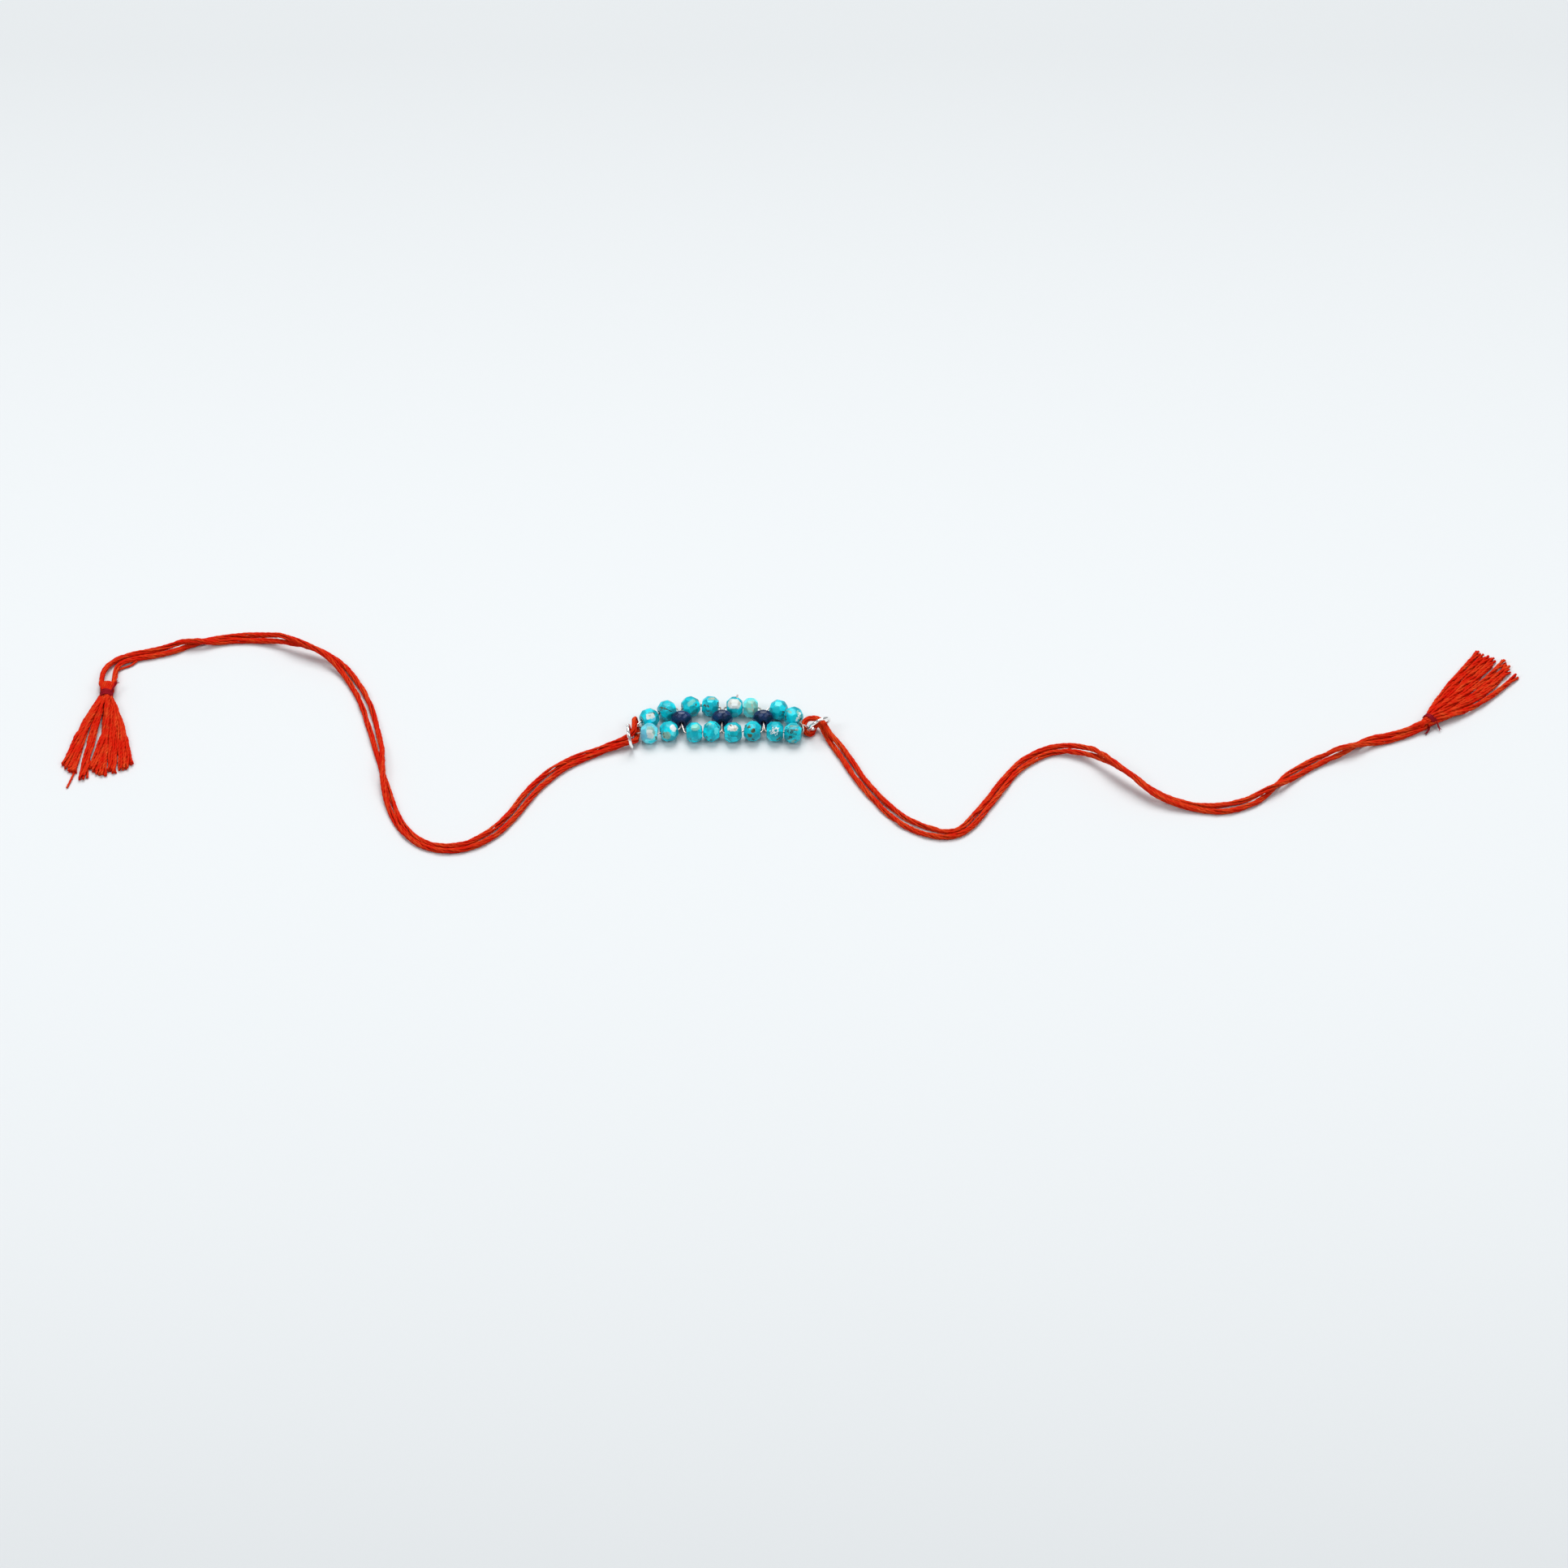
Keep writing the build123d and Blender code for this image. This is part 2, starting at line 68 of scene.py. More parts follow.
# Bindings: how far their thread slants, shifts and stands off, as shares of a binding's
# untidiness. Then their frayed ends.
wrap_radius = 1.27
wrap_thread_radius = 0.15
wrap_ply_turn = 0.8
wrap_points_per_turn = 10
wrap_slant = 2
wrap_shift = 0.4
wrap_swell = 0.5
frayed_strands = 3
frayed_bundle_radius = 0.12
frayed_strand_radius = 0.09
frayed_end_spread = 1.6

# Strands of a tassel's head: how far in from its outside and sides they run, how much lower the
# outer ones lie, the rises over the neck, where they pass the head's shoulder as shares of its
# size, and the angles of their loop round the thread's fold.
head_strands = 8
single_ply_turn = 2.2
head_inset = 0.2
head_side_room = 0.15
head_side_dip = 0.22
neck_inset = 0.4
neck_rise = 0.7
held_rise = 0.75
held_past_start = 0.2
shoulder_width = 0.9
shoulder_back = 0.5
shoulder_rise = 0.9
shoulder_drop = 0.8
head_loop = 1.08
head_loop_angles = (60, 105, 150, 195, 240, 285)

# Clipped ends of the bead wire. A turn as long as no_turn leaves them plain.
wire_end_radius = 0.17
wire_end_step = 0.08
no_turn = 1000.0

# Seeds of the strands' wander and tones
thread_seeds = {"left": 2.0, "right": 7.0}
tassel_seeds = {"left": 1.0, "right": 5.0}

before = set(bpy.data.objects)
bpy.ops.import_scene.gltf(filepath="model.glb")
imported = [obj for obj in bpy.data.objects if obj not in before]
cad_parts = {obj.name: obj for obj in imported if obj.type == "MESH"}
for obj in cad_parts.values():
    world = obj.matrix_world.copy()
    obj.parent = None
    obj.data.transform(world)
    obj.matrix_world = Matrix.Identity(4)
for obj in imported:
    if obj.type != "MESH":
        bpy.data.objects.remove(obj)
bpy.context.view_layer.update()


# Places of the threads

# The doubled threads. lift is the height of the lower leg's underside above the table, apart the
# legs' distance in thread widths, and roll how far the pair has turned about its own line.
left_pair = [
    # x, y, lift, apart, roll; from the tassel to the ring
    (-121.5, 13.3, 0.35, 2.25, 0),
    (-120.9, 15.7, 0.15, 1.80, 0),
    (-119.6, 17.4, 0.10, 1.35, 0),
    (-117.0, 18.7, 0.00, 1.14, 0),
    (-113.7, 19.5, 0.00, 1.35, 0),
    (-111.1, 20.3, 0.00, 1.45, 0),
    (-108.9, 21.0, 0.00, 1.30, 12),
    (-107.0, 21.6, 0.00, 1.20, 50),
    (-104.9, 22.1, 0.00, 1.20, 98),
    (-102.8, 22.7, 0.00, 1.18, 140),
    (-100.4, 23.3, 0.00, 1.14, 176),
    (-97.5, 23.8, 0.00, 1.16, 180),
    (-94.8, 24.1, 0.00, 1.40, 180),
    (-92.2, 24.0, 0.10, 1.45, 184),
    (-89.9, 23.5, 0.40, 1.22, 205),
    (-87.8, 22.6, 0.80, 1.18, 238),
    (-85.6, 21.6, 1.10, 1.16, 268),
    (-83.1, 20.5, 1.30, 1.14, 290),
    (-80.4, 19.3, 1.20, 1.14, 306),
    (-77.9, 17.8, 0.80, 1.14, 324),
    (-75.8, 15.9, 0.40, 1.18, 346),
    (-73.9, 13.3, 0.10, 1.35, 360),
    (-71.8, 9.2, 0.00, 1.50, 360),
    (-70.2, 4.5, 0.00, 1.55, 360),
    (-69.1, -0.2, 0.00, 1.48, 360),
    (-68.2, -4.9, 0.00, 1.24, 370),
    (-67.4, -9.2, 0.00, 1.18, 402),
    (-67.0, -13.2, 0.00, 1.18, 444),
    (-66.5, -16.9, 0.00, 1.18, 486),
    (-65.7, -20.7, 0.00, 1.08, 520),
    (-64.6, -25.0, 0.00, 1.00, 540),
    (-62.9, -29.2, 0.00, 0.98, 540),
    (-60.1, -32.7, 0.00, 1.02, 540),
    (-56.7, -34.5, 0.00, 1.14, 540),
    (-53.2, -34.9, 0.00, 1.20, 540),
    (-49.9, -34.1, 0.00, 1.35, 540),
    (-46.8, -32.2, 0.00, 1.50, 540),
    (-43.9, -29.4, 0.00, 1.40, 540),
    (-41.1, -25.4, 0.00, 1.40, 540),
    (-38.2, -20.0, 0.00, 1.45, 540),
    (-35.1, -15.5, 0.00, 1.50, 540),
    (-31.7, -12.0, 0.00, 1.40, 540),
    (-28.2, -9.7, 0.00, 1.08, 540),
    (-24.8, -8.1, 0.10, 0.98, 540),
    (-21.6, -6.7, 0.45, 0.94, 540),
]
right_pair = [
    # x, y, lift, apart, roll; from the ring to the tassel
    (22.1, -5.7, 0.05, 1.18, 48),
    (23.3, -7.7, 0.00, 1.24, 22),
    (24.8, -10.4, 0.00, 1.34, 4),
    (26.5, -14.0, 0.00, 1.38, 0),
    (28.5, -17.7, 0.00, 1.36, 0),
    (30.9, -21.4, 0.00, 1.36, 0),
    (33.4, -24.8, 0.00, 1.50, 0),
    (36.0, -27.4, 0.00, 1.75, 0),
    (38.9, -29.3, 0.00, 1.85, 0),
    (41.8, -30.6, 0.00, 1.70, 0),
    (44.5, -31.0, 0.00, 1.35, 0),
    (46.8, -30.3, 0.00, 1.14, 0),
    (48.6, -28.6, 0.00, 1.20, 0),
    (49.9, -26.4, 0.00, 1.40, 0),
    (51.2, -24.4, 0.00, 1.18, 0),
    (53.0, -21.3, 0.00, 1.14, 0),
    (55.4, -17.0, 0.00, 1.14, 0),
    (57.8, -12.9, 0.00, 1.16, 0),
    (60.7, -9.8, 0.00, 1.25, 0),
    (64.0, -7.8, 0.10, 1.46, 0),
    (67.2, -7.2, 0.30, 1.46, 0),
    (70.2, -8.0, 0.70, 1.30, 16),
    (72.8, -9.5, 1.20, 1.20, 50),
    (75.2, -11.6, 1.70, 1.18, 84),
    (77.8, -14.1, 2.10, 1.16, 110),
    (80.5, -16.7, 2.10, 1.14, 129),
    (83.1, -19.1, 1.60, 1.14, 144),
    (85.8, -21.1, 1.00, 1.14, 155),
    (89.1, -22.5, 0.40, 1.14, 165),
    (92.6, -23.3, 0.10, 1.16, 174),
    (96.0, -23.8, 0.00, 1.32, 180),
    (99.0, -23.7, 0.00, 1.72, 180),
    (101.7, -22.9, 0.00, 1.70, 180),
    (104.1, -21.9, 0.00, 1.28, 192),
    (106.0, -20.8, 0.00, 1.20, 226),
    (107.7, -19.5, 0.00, 1.20, 266),
    (109.4, -17.7, 0.00, 1.20, 310),
    (111.3, -15.6, 0.00, 1.38, 348),
    (113.9, -13.2, 0.00, 1.52, 360),
    (116.6, -11.2, 0.00, 1.35, 360),
    (118.8, -10.0, 0.10, 1.20, 376),
    (120.9, -9.2, 0.30, 1.18, 412),
    (123.0, -8.2, 0.40, 1.16, 450),
    (125.0, -6.9, 0.30, 1.18, 488),
    (127.1, -5.6, 0.10, 1.30, 522),
    (129.7, -4.5, 0.00, 1.55, 540),
    (132.2, -3.9, 0.00, 1.15, 546),
    (134.2, -3.3, 0.00, 0.98, 562),
    (135.8, -2.6, 0.05, 0.92, 582),
    (137.2, -1.8, 0.15, 0.90, 600),
]

# The threads' folds at the beads, from where the bead wire holds them to past the ring.
left_fold_back = [
    (-16.85, -2.40, 1.00),
    (-16.85, -0.55, 1.00),
    (-17.30, -0.55, 2.85),
    (-17.30, -2.60, 2.70),
    (-17.33, -4.00, 2.54),
    (-18.10, -4.75, 1.85),
]
left_fold_front = [
    (-18.10, -5.98, 1.62),
    (-17.00, -5.70, 1.32),
    (-16.85, -4.45, 1.06),
    (-16.85, -2.50, 1.00),
]
right_fold_over = [
    (16.17, -1.90, 1.56),
    (16.20, -0.90, 2.05),
    (17.20, -0.30, 2.35),
    (18.70, -0.55, 2.70),
    (19.97, -1.79, 2.86),
    (21.34, -4.25, 1.88),
]
right_fold_under = [
    (20.80, -3.95, 0.64),
    (19.55, -1.50, 1.72),
    (18.75, -0.80, 1.22),
    (18.05, -1.55, 0.68),
    (17.85, -3.00, 0.62),
    (16.50, -3.00, 0.82),
    (16.16, -2.00, 1.50),
]

# Tassels: the head's middle, the heading of the cord into it and of the fan out of it, and the
# locks. hand is 1 where the thread comes in on the left of its heading and -1 on the right.
tassels = {
    "left": {
        "middle": (-121.75, 9.3),
        "cord_heading": -90.0,
        "fan_heading": -92.0,
        "head_radius": 1.38,
        "fold_reach": 1.35,
        "hand": 1,
        "locks": [
            # tip x, tip y, bow to the left as a share of the lock's length, height share
            (-129.8, -11.4, -0.040, 0.2),
            (-129.2, -12.4, -0.035, 0.8),
            (-128.5, -13.2, -0.035, 0.3),
            (-127.8, -13.4, -0.050, 0.8),
            (-126.3, -15.4, -0.030, 0.4),
            (-125.6, -14.8, -0.012, 0.9),
            (-124.5, -12.4, 0.050, 0.2),
            (-123.9, -13.2, 0.052, 1.0),
            (-123.0, -14.0, 0.020, 0.4),
            (-121.9, -14.3, 0.010, 1.0),
            (-120.7, -13.0, 0.018, 0.3),
            (-119.7, -13.5, 0.025, 0.8),
            (-118.6, -12.7, 0.028, 0.4),
            (-117.6, -12.4, 0.036, 0.8),
            (-116.7, -11.2, 0.040, 0.2),
        ],
        "binding": {"start": 1.44, "length": 1.7, "turns": 5.7, "untidy": 0.07},
        # loose single strands, and the binding's frayed ends
        "strays": [
            [(-124.4, 2.6, 0.9), (-126.6, -8.0, 0.5), (-127.6, -13.4, 0.3), (-129.1, -17.6, 0.25)],
            [
                (-119.8, 15.0, 0.5), (-119.0, 15.8, 0.3), (-117.6, 16.3, 0.3), (-116.4, 17.2, 0.4),
                (-115.2, 18.9, 0.6),
            ],
        ],
        "tails": [
            [(-121.0, 7.2, 2.3), (-120.6, 8.0, 2.6), (-120.1, 9.2, 2.4), (-119.6, 10.1, 2.2)],
        ],
    },
    "right": {
        "middle": (138.8, -0.9),
        "cord_heading": 36.0,
        "fan_heading": 48.0,
        "head_radius": 1.2,
        "fold_reach": 0.62,
        "hand": -1,
        "locks": [
            (149.9, 20.0, 0.035, 0.2),
            (150.9, 19.1, 0.025, 0.8),
            (151.9, 18.7, 0.012, 0.3),
            (152.9, 18.1, 0.000, 0.9),
            (152.4, 16.7, -0.030, 0.5),
            (155.0, 17.6, -0.036, 1.0),
            (155.7, 16.5, -0.045, 0.4),
            (155.8, 15.0, -0.056, 0.8),
            (155.2, 13.8, -0.070, 0.3),
            (157.4, 13.5, -0.078, 0.5),
        ],
        "binding": {"start": 0.95, "length": 1.05, "turns": 3.6, "untidy": 0.16},
        "strays": [],
        "tails": [
            [(140.9, 0.2, 2.0), (141.4, -0.5, 1.5), (141.6, -1.3, 0.8), (141.9, -1.6, 0.4)],
            [(139.9, -0.9, 1.2), (139.7, -1.6, 0.7), (139.4, -2.2, 0.4), (138.9, -2.6, 0.3)],
        ],
    },
}


# Clipped ends of the bead wire: one behind the upper beads, and a twisted knot between two more.
wire_ends = [
    [(2.95, 3.10, 3.10), (3.00, 3.90, 3.50), (2.95, 4.40, 3.75), (3.10, 4.70, 3.95)],
    [(-4.55, 3.00, 2.30), (-4.20, 3.35, 2.75), (-3.80, 3.45, 2.60), (-3.85, 3.10, 2.25), (-4.25, 2.95, 2.55)],
    [(-4.00, 3.20, 2.40), (-3.75, 3.55, 2.95), (-3.45, 3.75, 3.15)],
]


def heading_vector(degrees):
    return Vector((math.cos(math.radians(degrees)), math.sin(math.radians(degrees)), 0.0))


def pair_legs(stations):
    """The two legs of a doubled thread from its stations."""
    legs = ([], [])
    for number, (x, y, lift, apart, roll) in enumerate(stations):
        before = stations[max(number - 1, 0)]
        after = stations[min(number + 1, len(stations) - 1)]
        run = math.dist(before[:2], after[:2])
        side = ((before[1] - after[1]) / run, (after[0] - before[0]) / run)
        reach = apart * thread_diameter / 2 * leg_closeness
        across = reach * math.cos(math.radians(roll))
        rise = reach * math.sin(math.radians(roll))
        middle = lift + thread_radius + abs(rise)
        legs[0].append((x + across * side[0], y + across * side[1], middle + rise))
        legs[1].append((x - across * side[0], y - across * side[1], middle - rise))
    return legs


def head_middle(tassel):
    return Vector((*tassel["middle"], tassel["head_radius"]))


def head_fold(tassel):
    """Corners of the thread's fold through a tassel's head."""
    reach = heading_vector(tassel["cord_heading"] + 90) * (tassel["hand"] * tassel["fold_reach"])
    return [head_middle(tassel) + reach, head_middle(tassel) - reach]


def left_thread_points():
    first, second = pair_legs(left_pair)
    return left_fold_back + second[::-1] + head_fold(tassels["left"]) + first + left_fold_front


def right_thread_points():
    first, second = pair_legs(right_pair)
    return right_fold_over + first + head_fold(tassels["right"]) + second[::-1] + right_fold_under


def add_object(name, data):
    made = bpy.data.objects.new(name, data)
    bpy.context.scene.collection.objects.link(made)
    return made


# Camera, at the photograph's angle and very long, so that it looks almost parallel.

frame_width = 309.12
view_middle = (12.24, -16.3, 0.0)
view_elevation = 45.0
camera_lens = 500.0
camera_sensor = 36.0


def make_camera():
    data = bpy.data.cameras.new("camera")
    data.lens = camera_lens
    data.sensor_width = camera_sensor
    camera = add_object("camera", data)
    distance = camera_lens / camera_sensor * frame_width * MM
    rise = math.radians(view_elevation)
    back = Vector((0, -math.cos(rise), math.sin(rise)))
    camera.location = Vector(view_middle) * MM + back * distance
    camera.rotation_mode = "QUATERNION"
    camera.rotation_quaternion = (-back).to_track_quat("-Z", "Y")
    data.clip_end = distance * 4
    bpy.context.scene.camera = camera


# Making of node trees


def connect(socket, value):
    """Links the socket to another node's output, or sets it to a plain value or a colour."""
    if isinstance(value, bpy.types.NodeSocket):
        socket.id_data.links.new(value, socket)
    elif socket.type == "RGBA":
        socket.default_value = (*value, 1)
    else:
        socket.default_value = value


def set_inputs(made, inputs):
    """Links or sets a node's inputs by name. Names take underscores for spaces."""
    for key, value in inputs.items():
        name = key.replace("_", " ")
        connect(next(socket for socket in made.inputs if socket.name == name and socket.enabled), value)


def node(tree, kind, settings=None, **inputs):
    """A node with its settings and inputs."""
    made = tree.nodes.new(kind)
    for key, value in (settings or {}).items():
        setattr(made, key, value)
    set_inputs(made, inputs)
    return made


def tree_of(values):
    """The tree of the first value that is a node's output."""
    return next(value.id_data for value in values if isinstance(value, bpy.types.NodeSocket))


def math_node(operation, *values):
    made = node(tree_of(values), "ShaderNodeMath", {"operation": operation})
    for socket, value in zip(made.inputs, values):
        connect(socket, value)
    return made.outputs[0]


def plus(first, second):
    return math_node("ADD", first, second)


def minus(first, second):
    return math_node("SUBTRACT", first, second)


def times(first, second):
    return math_node("MULTIPLY", first, second)


def times_plus(first, second, third):
    return math_node("MULTIPLY_ADD", first, second, third)


def vector_node(operation, *values):
    made = node(tree_of(values), "ShaderNodeVectorMath", {"operation": operation})
    for socket, value in zip([socket for socket in made.inputs if socket.enabled], values):
        connect(socket, value)
    return made.outputs["Value" if operation in ("DOT_PRODUCT", "LENGTH") else "Vector"]


def scaled(vector, factor):
    settings = {"operation": "SCALE"}
    return node(factor.id_data, "ShaderNodeVectorMath", settings, Vector=vector, Scale=factor).outputs[0]


def parts(vector):
    """The three numbers of a vector."""
    return node(vector.id_data, "ShaderNodeSeparateXYZ", Vector=vector).outputs


def combined(x, y, z):
    """The vector of three numbers."""
    return node(tree_of((x, y, z)), "ShaderNodeCombineXYZ", X=x, Y=y, Z=z).outputs[0]


def noise(place, scale, detail=3.0, roughness=0.5, distortion=0.0):
    return node(
        place.id_data, "ShaderNodeTexNoise", Vector=place, Scale=scale, Detail=detail, Roughness=roughness,
        Distortion=distortion,
    ).outputs["Fac"]


def smooth_step(value, low, high, out_low=0.0, out_high=1.0):
    return node(
        value.id_data, "ShaderNodeMapRange", {"interpolation_type": "SMOOTHSTEP"}, Value=value,
        From_Min=low, From_Max=high, To_Min=out_low, To_Max=out_high,
    ).outputs[0]


def add_inputs(tree, inputs):
    """Inputs of a tree by name and kind. Names take underscores for spaces."""
    for key, kind in inputs.items():
        name = key.replace("_", " ")
        tree.interface.new_socket(name, in_out="INPUT", socket_type=f"NodeSocket{kind}")


def new_tree(name, **inputs):
    """A geometry tree and its inputs: a geometry and the named ones."""
    tree = bpy.data.node_groups.new(name, "GeometryNodeTree")
    add_inputs(tree, {"Geometry": "Geometry", **inputs})
    return tree, tree.nodes.new("NodeGroupInput").outputs


def end_tree(tree, geometry):
    """The geometry tree with its output."""
    tree.interface.new_socket("Geometry", in_out="OUTPUT", socket_type="NodeSocketGeometry")
    tree.links.new(geometry, tree.nodes.new("NodeGroupOutput").inputs[0])
    return tree


def geometry_node(tree, kind, *settings, **inputs):
    """The first output of a geometry node: its geometry or its field."""
    return node(tree, f"GeometryNode{kind}", *settings, **inputs).outputs[0]


def stored(tree, geometry, name, value, kind="FLOAT", domain="POINT"):
    """The geometry with the value stored on it, under a name that the materials read."""
    settings = {"data_type": kind, "domain": domain}
    return geometry_node(tree, "StoreNamedAttribute", settings, Geometry=geometry, Name=name, Value=value)


# Floss nodes: how many points a line has to a control point, how far apart the seeds of lines and
# strands lie, how fast strands wander and sway to a metre, how much a noise's swing is widened,
# how much a swing draws its strand in, where the ends start to spread, and the sides of a strand.
line_closeness = 8
line_seed_step = 3.7
strand_seed_step = 11.3
wander_pace = 130.0
sway_pace = 260.0
swing_width = 4.0
swing_tightening = -0.5
spread_start = 0.90
strand_sides = 8


def bundle_shift(tree, given, number, place, seed, own):
    """How far each point of a strand stands off the bundle's middle line."""
    length = place.outputs["Length"]
    swing = minus(noise(combined(times(length, wander_pace), own, seed), 1.0, 1.0), 0.5)
    turn = times(math_node("DIVIDE", length, given["Bundle Turn"]), math.tau)
    share = times(math_node("DIVIDE", number, given["Strands"]), math.tau)
    wander = times(times(swing, given["Wander"]), swing_width)
    angle = plus(plus(turn, share), wander)
    loose = times_plus(math_node("ABSOLUTE", swing), swing_tightening, 1.0)
    near_end = smooth_step(place.outputs["Factor"], spread_start, 1.0)
    spread = times_plus(near_end, given["End Spread"], 1.0)
    reach = times(times(given["Bundle Radius"], loose), spread)
    sway_spot = combined(times(length, sway_pace), seed, 0.5)
    sway = node(tree, "ShaderNodeTexNoise", Vector=sway_spot, Scale=1.0, Detail=1.0)
    sways = parts(vector_node("SUBTRACT", sway.outputs["Color"], (0.5, 0.5, 0.5)))
    sway_reach = times(given["Sway"], swing_width)
    normal = geometry_node(tree, "InputNormal")
    tangent = geometry_node(tree, "InputTangent")
    side = vector_node("CROSS_PRODUCT", tangent, normal)
    shifts = []
    for direction, operation, own_sway in ((normal, "COSINE", sways[0]), (side, "SINE", sways[1])):
        out = times(reach, math_node(operation, angle))
        shifts.append(scaled(direction, times_plus(own_sway, sway_reach, out)))
    return vector_node("ADD", *shifts)


def strand_profile(tree, given):
    """A strand's outline, with its two plies as lobes, and where round it each point lies."""
    radius = given["Strand Radius"]
    circle = geometry_node(tree, "CurvePrimitiveCircle", Resolution=strand_sides, Radius=radius)
    outline = geometry_node(tree, "InputPosition")
    around = vector_node("NORMALIZE", outline)
    across = parts(around)[0]
    lobes = times_plus(times(across, across), 2.0, -1.0)
    lobed = scaled(outline, times_plus(lobes, given["Lobe"], 1.0))
    profile = geometry_node(tree, "SetPosition", Geometry=circle, Position=lobed)
    return stored(tree, profile, "around", around, "FLOAT_VECTOR")


def floss_tree():
    """Two-ply strands in a turning, slightly wandering bundle along every line of a mesh."""
    tree, given = new_tree(
        "floss", Strands="Int", Bundle_Radius="Float", Strand_Radius="Float", Lobe="Float",
        Bundle_Turn="Float", Ply_Turn="Float", Step="Float", Wander="Float", Sway="Float",
        End_Spread="Float", Seed="Float", Material="Material",
    )
    line = geometry_node(tree, "MeshToCurve", Mesh=given["Geometry"])
    line = geometry_node(tree, "ResampleCurve", {"mode": "LENGTH"}, Curve=line, Length=given["Step"])
    index = geometry_node(tree, "InputIndex")
    line_number = geometry_node(tree, "FieldOnDomain", {"domain": "CURVE", "data_type": "INT"}, Value=index)
    line = stored(tree, line, "line_number", line_number)
    copies = node(
        tree, "GeometryNodeDuplicateElements", {"domain": "SPLINE"}, Geometry=line, Amount=given["Strands"],
    )
    number = copies.outputs["Duplicate Index"]
    place = node(tree, "GeometryNodeSplineParameter")
    length = place.outputs["Length"]
    which_line = geometry_node(tree, "InputNamedAttribute", {"data_type": "FLOAT"}, Name="line_number")
    seed = times_plus(which_line, line_seed_step, given["Seed"])
    own = times_plus(number, strand_seed_step, seed)
    shift = bundle_shift(tree, given, number, place, seed, own)
    strands = geometry_node(tree, "SetPosition", Geometry=copies.outputs[0], Offset=shift)
    spot = parts(geometry_node(tree, "InputPosition"))
    on_table = combined(spot[0], spot[1], math_node("MAXIMUM", spot[2], given["Strand Radius"]))
    strands = geometry_node(tree, "SetPosition", Geometry=strands, Position=on_table)
    tone = node(tree, "ShaderNodeTexWhiteNoise", {"noise_dimensions": "1D"}, W=own).outputs["Value"]
    strands = stored(tree, strands, "tone", tone)
    strands = stored(tree, strands, "along", length)
    ply = times(math_node("DIVIDE", length, given["Ply Turn"]), math.tau)
    strands = geometry_node(tree, "SetCurveTilt", Curve=strands, Tilt=plus(ply, own))
    strands = geometry_node(tree, "SetCurveRadius", Curve=strands, Radius=1.0)
    profile = strand_profile(tree, given)
    body = geometry_node(tree, "CurveToMesh", Curve=strands, Profile_Curve=profile, Fill_Caps=True)
    body = geometry_node(tree, "SetShadeSmooth", Geometry=body)
    body = geometry_node(tree, "RealizeInstances", Geometry=body)
    body = geometry_node(tree, "SetMaterial", Geometry=body, Material=given["Material"])
    return end_tree(tree, body)


def line_mesh(name, lines):
    """An edge mesh along smooth lines, each through a control polygon in millimetres."""
    curve = bpy.data.curves.new(name, "CURVE")
    curve.dimensions = "3D"
    curve.resolution_u = line_closeness
    for points in lines:
        spline = curve.splines.new("NURBS")
        spline.points.add(len(points) - 1)
        for spot, place in zip(spline.points, points):
            spot.co = (*(value * MM for value in place), 1.0)
        spline.order_u = 3
        spline.use_endpoint_u = True
    holder = add_object(name, curve)
    mesh = bpy.data.meshes.new_from_object(holder)
    bpy.data.objects.remove(holder)
    bpy.data.curves.remove(curve)
    return mesh


def grown(name, mesh, tree, values):
    """The plain mesh that a tree makes from a mesh, as an object at the origin."""
    source = add_object(name + "_lines", mesh)
    modifier = source.modifiers.new("grow", "NODES")
    modifier.node_group = tree
    for socket in tree.interface.items_tree:
        if socket.in_out == "INPUT" and socket.name in values:
            modifier[socket.identifier] = values[socket.name]
    bpy.context.view_layer.update()
    evaluated = source.evaluated_get(bpy.context.evaluated_depsgraph_get())
    made = bpy.data.meshes.new_from_object(evaluated)
    bpy.data.objects.remove(source)
    made.name = name
    return add_object(name, made)


# Materials


def principled(name):
    material = bpy.data.materials.new(name)
    material.use_nodes = True
    return material, material.node_tree, material.node_tree.nodes["Principled BSDF"]


def shader_group(name, **inputs):
    """A shader node group and its named inputs."""
    group = bpy.data.node_groups.new(name, "ShaderNodeTree")
    add_inputs(group, inputs)
    return group, group.nodes.new("NodeGroupInput").outputs


def end_group(group, **values):
    """The group with its outputs: Color is a colour, the others are numbers."""
    for name in values:
        kind = "Color" if name == "Color" else "Float"
        group.interface.new_socket(name, in_out="OUTPUT", socket_type=f"NodeSocket{kind}")
    set_inputs(group.nodes.new("NodeGroupOutput"), values)
    return group


def place_group(tree, group, **inputs):
    """A group's outputs in a material, with its inputs set or linked."""
    return node(tree, "ShaderNodeGroup", {"node_tree": group}, **inputs).outputs


def mix_colour(share, first, second, blend="MIX"):
    settings = {"data_type": "RGBA", "blend_type": blend}
    made = node(tree_of((share, first, second)), "ShaderNodeMix", settings, Factor=share, A=first, B=second)
    return next(socket for socket in made.outputs if socket.enabled)


def finish_shader(tree, shader, height, bumps, **inputs):
    """A shader's bumps, of a depth and a strength, and its other inputs."""
    depth, strength = bumps
    made = node(tree, "ShaderNodeBump", Height=height, Distance=depth * MM, Strength=strength)
    set_inputs(shader, {"Normal": made.outputs[0], **inputs})


def group_material(name, group, values, bumps, **inputs):
    """A material with a group's colour, roughness and bumps."""
    material, tree, shader = principled(name)
    made = place_group(tree, group, **values)
    inputs = {"Base_Color": made["Color"], "Roughness": made["Roughness"], **inputs}
    finish_shader(tree, shader, made["Height"], bumps, **inputs)
    return material


def object_place(tree):
    return node(tree, "ShaderNodeTexCoord").outputs["Object"]


def attribute(tree, name):
    return node(tree, "ShaderNodeAttribute", {"attribute_name": name}).outputs


# Depth and strength of each material's bumps
floss_bumps = (0.03, 0.6)
metal_bumps = (0.004, 0.3)
stone_bumps = (0.05, 0.5)
glass_bumps = (0.04, 0.25)

